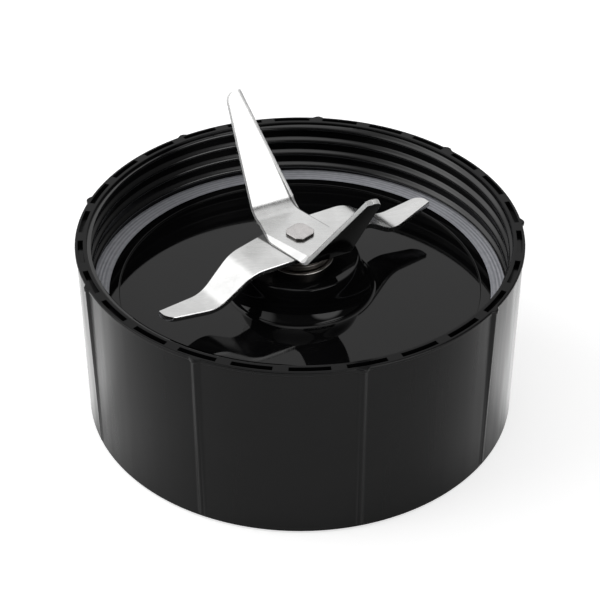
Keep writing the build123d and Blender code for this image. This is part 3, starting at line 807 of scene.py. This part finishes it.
def add_stiffeners(finish):
    """Radial ribs under the floor: an upright section carried from the tower to the skirt, all round."""
    half = STIFFENER_THICKNESS / 2
    foot = floor_under - STIFFENER_DEPTH
    top = floor_under + FLOOR_THICKNESS / 2
    corners = [(-half, foot), (half, foot), (half, top), (-half, top)]
    section = rounded_loop(corners, STIFFENER_ROUND, SMALL_ARC_STEPS)
    inner, outer = tower_radius - TOWER_WALL / 2, hollow_radius + SKIRT_WALL / 2
    plate = np.empty((STIFFENER_STEPS, len(section), 3))
    plate[..., 0] = np.linspace(inner, outer, STIFFENER_STEPS)[:, None]
    plate[..., 1:] = section
    turns = RIB_PHASE + np.arange(STIFFENER_COUNT) * 360 / STIFFENER_COUNT
    plates = np.stack([turned_about_axis(plate, turn) for turn in turns])
    add_surface("floor_stiffeners", plates, [finish], "base", ["base_ring"])


def add_gasket(finish):
    """Gasket: a flat ring turned about the axis, its top waved into fine rings by a raised cosine."""
    inner, outer = gasket_inner + SEAT_GAP, gasket_outer - SEAT_GAP
    top = gasket_top - SEAT_GAP
    corners = [(inner, groove_level), (outer, groove_level), (outer, top), (inner, top)]
    arcs = rounded_corners(corners, [SMALL_ROUND, SMALL_ROUND, GASKET_ROUND, GASKET_ROUND])
    edge = GASKET_ROUND + 2 * GUARD
    points = GASKET_RING_STEPS * GASKET_RINGS + 1
    across = np.linspace(outer - edge, inner + edge, points)
    share = np.linspace(0, 1, points)
    waves = GASKET_RING_DEPTH / 2 * (1 - np.cos(2 * pi * GASKET_RINGS * share))
    upper = np.stack([across, top - waves], axis=-1)
    loop = np.concatenate([arcs[:3].reshape(-1, 2), upper, arcs[3]])
    add_turned("gasket_ring", loop, around(), [finish], "base", "jar_gasket")


def add_retainer(finish):
    """Ferrule round the seal: a thin wall turned about the axis, with a lip bent in over it."""
    outer = RETAINER_RADIUS - SEAT_GAP
    lip_bore = COLLAR_NECK_RADIUS + NECK_CLEARANCE
    corners = [
        (outer - RETAINER_WALL, seal_seat),
        (outer, seal_seat),
        (outer, retainer_top),
        (lip_bore, retainer_top),
        (lip_bore, retainer_top - RETAINER_WALL),
        (outer - RETAINER_WALL, retainer_top - RETAINER_WALL),
    ]
    loop = rounded_loop(corners, corner_rounds(corners, {2: RETAINER_WALL / 2}))
    angles = around(SMALL_TURN_STEPS)
    add_turned("ferrule", loop, angles, [finish], "base", "seal_retainer")


def add_collar(finish):
    """Collar under the blades: a profile turned about the axis, with a flange and a seat on top."""
    bore = SHAFT_RADIUS + SEAT_GAP
    collar_foot = retainer_top + COLLAR_GAP
    step = collar_foot + COLLAR_FLANGE_HEIGHT
    corners = [
        (bore, neck_foot),
        (COLLAR_NECK_RADIUS, neck_foot),
        (COLLAR_NECK_RADIUS, collar_foot),
        (COLLAR_FLANGE_RADIUS, collar_foot),
        (COLLAR_FLANGE_RADIUS, step),
        (COLLAR_TOP_RADIUS, step),
        (COLLAR_TOP_RADIUS, blade_seat),
        (bore, blade_seat),
    ]
    rounds = corner_rounds(corners, {3: COLLAR_FLANGE_ROUND, 4: COLLAR_FLANGE_ROUND})
    loop = rounded_loop(corners, rounds)
    angles = around(SMALL_TURN_STEPS)
    add_turned("collar", loop, angles, [finish], "rotor", "blade_collar")


def squared_round(angles, across, corner_radius):
    """Radius of a square with its corners turned off: the nearer of flat and circle at each angle."""
    off = angles - radians(TANG_AZIMUTH)
    flat = across / 2 / np.maximum(np.abs(np.cos(off)), np.abs(np.sin(off)))
    return np.minimum(flat, corner_radius)


def add_shaft(shaft_finish, wall_finish, head_finish):
    """Shaft and its struck head: rings of points stacked up the axis, each round or squared off.

    Below the blades a ring is a circle of the step's radius. In the blades it is the squared tang, and
    above them the wider squared head, whose rings shrink towards the top along a shallow crown.
    """
    angles = around(SHAFT_TURN_STEPS)
    groove = SHAFT_RADIUS - CLIP_GROOVE_DEPTH
    steps = np.array([
        (SHAFT_TAIL_RADIUS - SHAFT_END_CHAMFER, shaft_foot),
        (SHAFT_TAIL_RADIUS, shaft_foot + SHAFT_END_CHAMFER),
        (SHAFT_TAIL_RADIUS, coupling_top),
        (SHAFT_RADIUS, coupling_top),
        (SHAFT_RADIUS, clip_foot),
        (groove, clip_foot),
        (groove, clip_top),
        (SHAFT_RADIUS, clip_top),
        (SHAFT_RADIUS, blade_seat),
    ])
    tang = squared_round(angles, TANG_ACROSS, TANG_CORNER_RADIUS)
    head = squared_round(angles, HEAD_ACROSS, HEAD_CORNER_RADIUS)
    wall_top = head_top - HEAD_CROWN - HEAD_CHAMFER
    crown = np.linspace(1, HEAD_LAST_RING_SHARE, HEAD_CROWN_STEPS)[1:]
    chamfer = np.linspace(0, 1, HEAD_CHAMFER_STEPS)
    chamfer_inset = HEAD_CHAMFER * (1 - np.sqrt(1 - chamfer**2))
    radius = np.concatenate([
        np.repeat(steps[:, :1], len(angles), axis=1),
        [tang, tang, head],
        head - chamfer_inset[:, None],
        (head - HEAD_CHAMFER) * crown[:, None],
    ])
    height = np.concatenate([
        steps[:, 1],
        [blade_seat, head_foot, head_foot],
        wall_top + HEAD_CHAMFER * chamfer,
        head_top - HEAD_CROWN * crown**2,
    ])
    grid = np.stack([
        radius * np.cos(angles),
        radius * np.sin(angles),
        np.repeat(height[:, None], len(angles), axis=1),
    ], axis=-1)
    finishes = [shaft_finish, wall_finish, head_finish]
    piece = add_surface("shaft", grid, finishes, "rotor", ["drive_shaft"],
                        sharp=SHAFT_SHARP)

    # A face takes the finish of its height: shaft, wall of the head in painted shade, top of the head
    centres = np.empty((len(piece.data.polygons), 3))
    piece.data.polygons.foreach_get("center", centres.ravel())
    part = np.digitize(centres[:, 2] / MM, [head_foot - SMALL_ROUND, wall_top]).astype(np.int32)
    piece.data.polygons.foreach_set("material_index", part)


def bent_line(corners, radius, step):
    """Points, tangents and travel along an open line of straights with round bends, evenly spaced.

    The bends are the arcs of its inner corners. Points are read off the line at even steps of its
    length, and closer together near its ends, where their distance from an end grows as 1 - cosine.
    """
    arcs = rounded_corners(corners, radius, BEND_STEPS)[1:-1].reshape(-1, 2)
    line = np.concatenate([corners[:1], arcs, corners[-1:]])
    length = np.concatenate([[0], np.cumsum(np.linalg.norm(np.diff(line, axis=0), axis=1))])
    travel = np.linspace(0, length[-1], int(length[-1] / step))
    crowd = (1 - np.cos(np.linspace(0, pi / 2, BEND_STEPS)))[1:-1]
    ends = length[-1] * crowd * TIP_SHARE
    travel = np.unique(np.concatenate([travel, ends, length[-1] - ends]))
    points = np.stack([np.interp(travel, length, line[:, k]) for k in (0, 1)], axis=-1)
    return points, unit(np.gradient(points, travel, axis=0)), travel


def half_section(edge, inwards, width, drop):
    """One side of a blade's sections: points across and above the middle, from lower to upper face.

    The lower corner is broken in two steps. The ground edge starts that width inside the edge and falls
    by that drop towards it, and its corner is broken too. What is left of the wall keeps a least
    height.
    """
    brk = EDGE_BREAK
    level = np.zeros_like(edge)
    foot, top = level - BLADE_THICKNESS / 2, level + BLADE_THICKNESS / 2
    inset = np.stack([
        level + brk,
        level + FOOT_CORNER_BREAKS * brk,
        level,
        level,
        level + TOP_CORNER_BREAKS * brk,
        width,
        width + brk,
    ], axis=-1)
    above = np.stack([
        foot,
        foot + FOOT_CORNER_BREAKS * brk,
        foot + brk,
        np.maximum(top - drop - brk, foot + LEAST_WALL_BREAKS * brk),
        np.maximum(top - drop, foot + LEAST_CORNER_BREAKS * brk),
        top,
        top,
    ], axis=-1)
    return edge[:, None] + inwards * inset, above


def blade_sections(points, tangents, low_edge, high_edge, low_ground, high_ground):
    """Closed sections of a blade across its length, one for each point of its side view.

    A section goes up its low side and down its high side. A point lies its distance above the middle
    along the side view's normal. A ground edge is a pair of width and drop.
    """
    low_across, low_above = half_section(low_edge, 1, *low_ground)
    high_across, high_above = half_section(high_edge, -1, *high_ground)
    across = np.concatenate([low_across, high_across[:, ::-1]], axis=-1)
    above = np.concatenate([low_above, high_above[:, ::-1]], axis=-1)
    along = points[:, :1] - above * tangents[:, 1:]
    upwards = points[:, 1:] + above * tangents[:, :1]
    return np.stack([along, across, upwards], axis=-1)


def tip_cut(x, tip, radius):
    """How much the round of a tip takes off an edge: the gap between a quarter circle and its tangent."""
    past = np.clip(x - (tip - radius), 0, radius)
    return radius - np.sqrt(radius**2 - past**2)


def add_upper_blade(sheet, ground, shaded_underside, sheared):
    """Upper blade: strip sections carried along its bent side view, the same after half a turn.

    The leading edge runs straight from the rounded shoulder to the bend, level through it and straight
    on to the tip. The trailing edge does the same and ends in the round of the tip. The other edge at a
    place is this edge at the opposite place, negated. The grinding follows the leading edge of an arm.
    On the near side it runs on over the middle and out past the shoulder, and on the far side it runs
    out in the bend.
    """
    middle = blade_seat + 1.5 * BLADE_THICKNESS
    reach = UPPER_BEND_X + UPPER_ARM_LENGTH * cos(upper_bend)
    rise = middle + UPPER_ARM_LENGTH * sin(upper_bend)
    corners = np.array([(-reach, rise), (-UPPER_BEND_X, middle), (UPPER_BEND_X, middle), (reach, rise)])
    points, tangents, travel = bent_line(corners, upper_bend_radius, UPPER_STEP)
    place = travel - travel[-1] / 2
    tip = place[-1]
    arm_knots = [upper_bend_start, upper_bend_end, tip]
    leading_widths = [UPPER_LEADING_AT_BEND, UPPER_LEADING_AT_BEND, -UPPER_TIP_LEADING]
    trailing_widths = [UPPER_TRAILING_AT_BEND, UPPER_TRAILING_AT_BEND, UPPER_TIP_TRAILING]
    middle_drop = BLADE_THICKNESS - GROUND_LAND
    arm_drop = middle_drop - ARM_GROUND_EASE

    def high_edge(x):
        """Edge on the high side: straights between knots, joined at the shoulder by a parabola."""
        widest = UPPER_MIDDLE_HALF_WIDTH
        leading = np.interp(-x, [-UPPER_SHOULDER_X, *arm_knots], [widest, *leading_widths])
        trailing = np.interp(x, [UPPER_SHOULDER_X, *arm_knots], [widest, *trailing_widths])
        trailing = trailing - tip_cut(x, tip, UPPER_TIP_ROUND)
        off = x - UPPER_SHOULDER_X
        slopes = upper_lead_slope + upper_trail_slope
        run = UPPER_SHOULDER_ROUND * slopes / 2
        lean = (upper_lead_slope - upper_trail_slope) / 2
        arc = widest - run * slopes / 4 + lean * off - off**2 / (2 * UPPER_SHOULDER_ROUND)
        return np.where(np.abs(off) < run, arc, np.where(off < 0, leading, trailing))

    def on_arm(x):
        """Share from 0 where the bend starts to 1 where it ends."""
        return smooth_step((x - upper_bend_start) / (upper_bend_end - upper_bend_start))

    def near_ground(x):
        """Ground edge on the near side: as wide as the edge lies outside a straight inner line."""
        inner_slope = upper_lead_slope + UPPER_GROUND_TAPER / upper_lead_run
        from_bend = np.maximum(x + upper_bend_start, 0)
        inner_line = UPPER_LEADING_AT_BEND + inner_slope * from_bend - UPPER_GROUND_WIDTH
        full = UPPER_GROUND_WIDTH + (UPPER_ARM_GROUND_WIDTH - UPPER_GROUND_WIDTH) * on_arm(-x)
        over_middle = np.clip(high_edge(x) - inner_line, UPPER_GROUND_LEAST, UPPER_GROUND_WIDTH)
        width = np.where(x > -upper_bend_start, over_middle, full)
        deepest = middle_drop + (arm_drop - middle_drop) * on_arm(-x)
        return width, deepest * width / full

    def far_ground(x):
        """Ground edge on the far side: it grows in the bend from a broken edge."""
        width = EDGE_BREAK + (UPPER_ARM_GROUND_WIDTH - EDGE_BREAK) * on_arm(x)
        return width, EDGE_BREAK + (arm_drop - EDGE_BREAK) * on_arm(x)

    edges = -high_edge(-place), high_edge(place)
    sections = blade_sections(points, tangents, *edges, far_ground(place), near_ground(place))
    grid = turned_about_axis(sections, UPPER_AZIMUTH)
    # Finishes across a section: sheet, ground edges, sheared walls, and the underside in painted shade
    finishes = [sheet, ground, shaded_underside, sheared]
    one_side = [sheet, sheet, sheared, sheet, ground, sheet]
    whole = [*one_side, sheet, *reversed(one_side), shaded_underside]
    finish_of = [finishes.index(finish) for finish in whole]
    add_surface("blade_upper", grid, finishes, "rotor", ["upper_blade"],
                finish_of=finish_of, sharp=BLADE_SHARP)


def add_lower_blade(steel):
    """Lower blade: strip sections carried along its stepped side view, the same after half a turn.

    Both edges run straight from the widest place at the middle to the tips, with the trailing corner of
    a tip rounded.
    """
    middle = blade_seat + BLADE_THICKNESS / 2
    step_x = LOWER_BEND_X + LOWER_STEP_RUN
    tip_x = step_x + LOWER_TIP_RUN
    step_z = middle - LOWER_STEP_DROP
    right = [(LOWER_BEND_X, middle), (step_x, step_z), (tip_x, step_z + LOWER_TIP_RISE)]
    corners = np.array([(-x, z) for x, z in reversed(right)] + right)
    points, tangents, _ = bent_line(corners, LOWER_BEND_RADIUS, LOWER_STEP)
    place = points[:, 0]
    widths = [LOWER_TIP_LEADING, LOWER_MIDDLE_HALF_WIDTH, LOWER_TIP_TRAILING]

    def high_edge(x):
        """Edge on the high side: two straights, less the round of the tip."""
        return np.interp(x, [-tip_x, 0, tip_x], widths) - tip_cut(x, tip_x, LOWER_TIP_ROUND)

    edges = -high_edge(-place), high_edge(place)
    broken = (np.full_like(place, EDGE_BREAK), np.full_like(place, EDGE_BREAK))
    sections = blade_sections(points, tangents, *edges, broken, broken)
    grid = turned_about_axis(sections, LOWER_AZIMUTH)
    add_surface("blade_lower", grid, [steel], "rotor", ["lower_blade"], sharp=BLADE_SHARP)


def hexagon_push(angles, corner):
    """How far a hexagon lies outside the circle of its corners, never above 0. A corner is at angle 0."""
    off = angles % (pi / 3) - pi / 6
    return corner * cos(pi / 6) / np.cos(off) - corner


def add_coupling(finish):
    """Drive coupling: a closed profile turned about the axis whose socket follows the lobes.

    A lobe reaches out to where a ray from the axis leaves the lobe's circle, and the socket keeps the
    larger of that and its own radius. The boss's inner corners follow a hexagon.
    """
    angles = around(COUPLING_TURN_STEPS)
    pitch = 2 * pi / SOCKET_LOBE_COUNT
    off = (angles + pitch / 2) % pitch - pitch / 2
    lobe_centre = SOCKET_RADIUS + SOCKET_LOBE_OFFSET
    under = SOCKET_LOBE_RADIUS**2 - (lobe_centre * np.sin(off)) ** 2
    lobe = np.where(under > 0, lobe_centre * np.cos(off) + np.sqrt(np.maximum(under, 0)), 0)
    socket_push = np.maximum(SOCKET_RADIUS, lobe) - SOCKET_RADIUS
    boss = insert_corner + BOSS_WALL
    socket_end = coupling_top - COUPLING_WEB
    corners = [
        (SOCKET_RADIUS, coupling_foot),
        (COUPLING_RADIUS, coupling_foot),
        (COUPLING_RADIUS, coupling_top),
        (insert_corner, coupling_top),
        (insert_corner, insert_foot),
        (boss, insert_foot),
        (boss, socket_end),
        (SOCKET_RADIUS, socket_end),
    ]
    rounds = corner_rounds(corners, {2: COUPLING_ROUND}, COUPLING_EDGE_ROUND)
    arcs = rounded_corners(corners, rounds, SMALL_ARC_STEPS)
    pushes = [([0, 7], socket_push), ([3, 4], hexagon_push(angles, insert_corner))]
    loops = pushed_loops(arcs, angles, pushes)
    add_turned("coupling", loops, angles, [finish], "rotor", "drive_coupling")


def add_insert(finish):
    """Hexagonal insert: a closed profile turned about the axis with its outer corners on a hexagon."""
    angles = around(INSERT_TURN_STEPS)
    outer = insert_corner - SEAT_GAP
    bore = SHAFT_TAIL_RADIUS + SEAT_GAP
    corners = [(bore, insert_foot), (outer, insert_foot), (outer, coupling_top), (bore, coupling_top)]
    arcs = rounded_corners(corners, INSERT_ROUND, INSERT_ARC_STEPS)
    loops = pushed_loops(arcs, angles, [([1, 2], hexagon_push(angles, outer))])
    add_turned("insert", loops, angles, [finish], "rotor", "coupling_insert")


def add_area_light(name, place, target, size, power):
    """Softbox that faces its target. Mirror images see the glow of the surroundings in its place."""
    lamp = bpy.data.lights.new(name, "AREA")
    lamp.shape = "RECTANGLE"
    lamp.size, lamp.size_y = size
    lamp.energy = power
    box = bpy.data.objects.new(name, lamp)
    box.location = place
    box.rotation_euler = (Vector(target) - Vector(place)).to_track_quat("-Z", "Y").to_euler()
    box.visible_glossy = False
    bpy.context.scene.collection.objects.link(box)


def add_stage_floor():
    """Pale floor. It looks white and keeps the object's shadow. Mirrored beside the skirt it glows."""
    half = STAGE_HALF
    mesh = bpy.data.meshes.new("studio_floor")
    corners = [(-half, -half, 0), (half, -half, 0), (half, half, 0), (-half, half, 0)]
    mesh.from_pydata(corners, [], [(0, 1, 2, 3)])
    ground = bpy.data.objects.new("studio_floor", mesh)
    ground.location.z = -STAGE_DROP
    material, tree, shader = new_finish("studio_floor", {
        "Base Color": (0.8, 0.8, 0.8, 1),
        "Roughness": 0.9,
        "Specular IOR Level": 0.1,
        "Emission Color": (1, 1, 1, 1),
    })
    ray = add_node(tree, "LightPath").outputs
    place = add_node(tree, "TexCoord").outputs["Object"]
    away = reckon_vector(tree, "DISTANCE", "Value", {0: place, 1: STAGE_GLOW_CENTRE})
    near = spread(tree, away, 1.0, 0.0, *STAGE_GLOW_REACH)
    across = add_node(tree, "SeparateXYZ", {0: place}).outputs
    outside = spread(tree, reckon(tree, "ABSOLUTE", across["X"]), 0.0, 1.0, *STAGE_GLOW_ASIDE)
    behind = spread(tree, across["Y"], 0.0, *STAGE_GLOW_BEHIND)
    beside = spread(tree, across["Y"], 0.0, *STAGE_GLOW_BESIDE)
    strip = reckon(tree, "ADD", behind, beside)
    glow = reckon(tree, "MULTIPLY", reckon(tree, "MULTIPLY", near, outside), strip)
    mirrored = reckon(tree, "MULTIPLY", ray["Is Glossy Ray"], glow)
    seen = reckon(tree, "MULTIPLY_ADD", ray["Is Camera Ray"], STAGE_WHITE, mirrored)
    tree.links.new(seen, shader.inputs["Emission Strength"])
    mesh.materials.append(material)
    bpy.context.scene.collection.objects.link(ground)


def add_surroundings():
    """Even white light, and in mirror images a dim room with soft glows, dark in front and on the right."""
    world = bpy.data.worlds.new("studio")
    bpy.context.scene.world = world
    world.use_nodes = True
    tree = world.node_tree
    towards = add_node(tree, "TexCoord").outputs["Generated"]
    part = add_node(tree, "SeparateXYZ", {0: towards}).outputs
    room = spread(tree, part["Z"], *ROOM_UPWARDS)
    room = reckon(tree, "MULTIPLY", room, spread(tree, part["X"], *ROOM_TO_THE_RIGHT))
    room = reckon(tree, "MULTIPLY", room, spread(tree, part["Y"], *ROOM_TO_THE_BACK))
    for aim, edge, middle, level in GLOWS:
        nearness = reckon_vector(tree, "DOT_PRODUCT", "Value", {0: towards, 1: aim})
        glow = spread(tree, nearness, 0.0, level, edge, middle, interpolation_type="SMOOTHSTEP")
        room = reckon(tree, "ADD", room, glow)
    ray = add_node(tree, "LightPath").outputs
    mirrored = reckon(tree, "MULTIPLY", ray["Is Glossy Ray"], room)
    even = spread(tree, ray["Is Glossy Ray"], EVEN_LIGHT, 0.0, 0, 1)
    light = reckon(tree, "ADD", mirrored, even)
    seen = reckon(tree, "MULTIPLY_ADD", ray["Is Camera Ray"], 1 - EVEN_LIGHT, light)
    background = tree.nodes["Background"]
    background.inputs["Color"].default_value = (1, 1, 1, 1)
    tree.links.new(seen, background.inputs["Strength"])


def add_lights():
    """Large softbox on the left and a small one on the right in front."""
    add_area_light("left_softbox", place=(-0.55, 0.05, 0.52), target=(0, 0, 0.03),
                   size=(0.8, 0.4), power=2.5)
    add_area_light("right_softbox", place=(0.52, -0.42, 0.33), target=(0, 0, 0.04),
                   size=(0.32, 0.36), power=0.7)


def add_camera():
    """Camera at the photograph's angle."""
    lens = bpy.data.cameras.new("camera")
    lens.lens = CAMERA_LENS
    lens.sensor_width = CAMERA_SENSOR
    lens.clip_start = CAMERA_NEAR
    camera = bpy.data.objects.new("camera", lens)
    camera.location = CAMERA_PLACE
    aim = Vector(CAMERA_TARGET) - camera.location
    camera.rotation_euler = aim.to_track_quat("-Z", "Y").to_euler()
    bpy.context.scene.collection.objects.link(camera)
    bpy.context.scene.camera = camera


def dress_inner_solids():
    """Finishes for the solids that keep their own meshes, mostly out of sight in the bearing."""
    bronze = soft_finish("sintered_bronze", dark=(0.30, 0.17, 0.07), light=(0.48, 0.30, 0.13),
                         scale=1600.0, low=0.35, high=0.55, metallic=1.0, strength=0.3)
    housing = turned_steel("housing_steel", dark=(0.40, 0.39, 0.38), light=(0.58, 0.57, 0.56))
    rubber = soft_finish("seal_rubber", dark=(0.008, 0.008, 0.008), light=(0.02, 0.02, 0.02), scale=900.0,
                         low=0.5, high=0.7)
    nylon = soft_finish("white_nylon", dark=(0.62, 0.60, 0.55), light=(0.74, 0.72, 0.67), scale=600.0,
                        low=0.35, high=0.5)
    spring = soft_finish("spring_steel", dark=(0.06, 0.065, 0.08), light=(0.14, 0.145, 0.17), scale=800.0,
                         low=0.25, high=0.42, metallic=1.0)
    finishes = {
        "bearing_housing": housing,
        "upper_bush": bronze,
        "lower_bush": bronze,
        "shaft_seal": rubber,
        "upper_thrust_washer": nylon,
        "lower_thrust_washer": housing,
        "retaining_clip": spring,
    }
    for name, finish in finishes.items():
        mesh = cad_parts[name].data
        mesh.materials.clear()
        mesh.materials.append(finish)


# Finishes of the pieces
polished = polished_plastic()
satin = satin_plastic()
rim_plastic = moulded_plastic("rim_plastic", gloss=0.17, low=0.14, high=0.22)
thread_plastic = moulded_plastic("thread_plastic", gloss=0.78, low=0.15, high=0.21)
ferrule_steel = turned_steel("turned_steel", dark=(0.44, 0.41, 0.38), light=(0.62, 0.60, 0.58))
# Collar: turned steel darkened well below the ferrule's, painted shade under the blades, with a brownish
# cast of its own
shaded_collar_steel = turned_steel("shaded_collar_steel", dark=(0.17, 0.155, 0.14), light=(0.32, 0.3, 0.28),
                            low=0.34, high=0.5)
# Dark steel for the wall of the shaft's head: painted shade along its sides
shaded_head_wall_steel = soft_finish("shaded_head_wall_steel", dark=(0.03, 0.028, 0.027), light=(0.09, 0.085, 0.08), scale=900.0,
                         low=0.3, high=0.5, metallic=1.0)
# Upper blade steel, with a painted dark line just inside its leading edges
upper_sheet = brushed_steel("upper_blade_steel", -UPPER_AZIMUTH, SHEET_TINT, low=0.23, high=0.31,
                            edge_shade=UPPER_PAINTED_SHADE)
ground_steel = brushed_steel("ground_steel", 90 - UPPER_AZIMUTH,
                             tint=(0.9, 0.9, 0.895), low=0.29, high=0.37)
# Darker copy of the blade steel for the upper blade's underside: painted shade, with a smoother gloss
shaded_underside_steel = brushed_steel("shaded_underside_steel", -UPPER_AZIMUTH,
                             tint=(0.33, 0.33, 0.325), low=0.08, high=0.14)
sheared_steel = brushed_steel("sheared_steel", -UPPER_AZIMUTH,
                              tint=(0.96, 0.96, 0.955), low=0.62, high=0.72)
# Lower blade steel, with a painted shadow beside the upper blade's edges
lower_sheet = brushed_steel("lower_blade_steel", -LOWER_AZIMUTH, SHEET_TINT, low=0.2, high=0.28,
                            edge_shade=LOWER_PAINTED_SHADE)
coupling_plastic = soft_finish("coupling_plastic", dark=(0.012, 0.012, 0.013), light=(0.024, 0.024, 0.025),
                               scale=700.0, low=0.32, high=0.45)
brass = soft_finish("brass", dark=(0.46, 0.32, 0.13), light=(0.62, 0.45, 0.2), scale=900.0,
                    low=0.2, high=0.34, metallic=1.0)

# Pieces, stage and camera
add_shell(satin, rim_plastic)
add_floor(polished)
add_thread(thread_plastic)
add_stiffeners(satin)
add_gasket(gasket_silicone())
add_retainer(ferrule_steel)
add_collar(shaded_collar_steel)
add_shaft(ferrule_steel, shaded_head_wall_steel, peened_steel())
add_upper_blade(upper_sheet, ground_steel, shaded_underside_steel, sheared_steel)
add_lower_blade(lower_sheet)
add_coupling(coupling_plastic)
add_insert(brass)
dress_inner_solids()
add_stage_floor()
add_surroundings()
add_lights()
add_camera()
bpy.context.scene.view_settings.view_transform = "Standard"
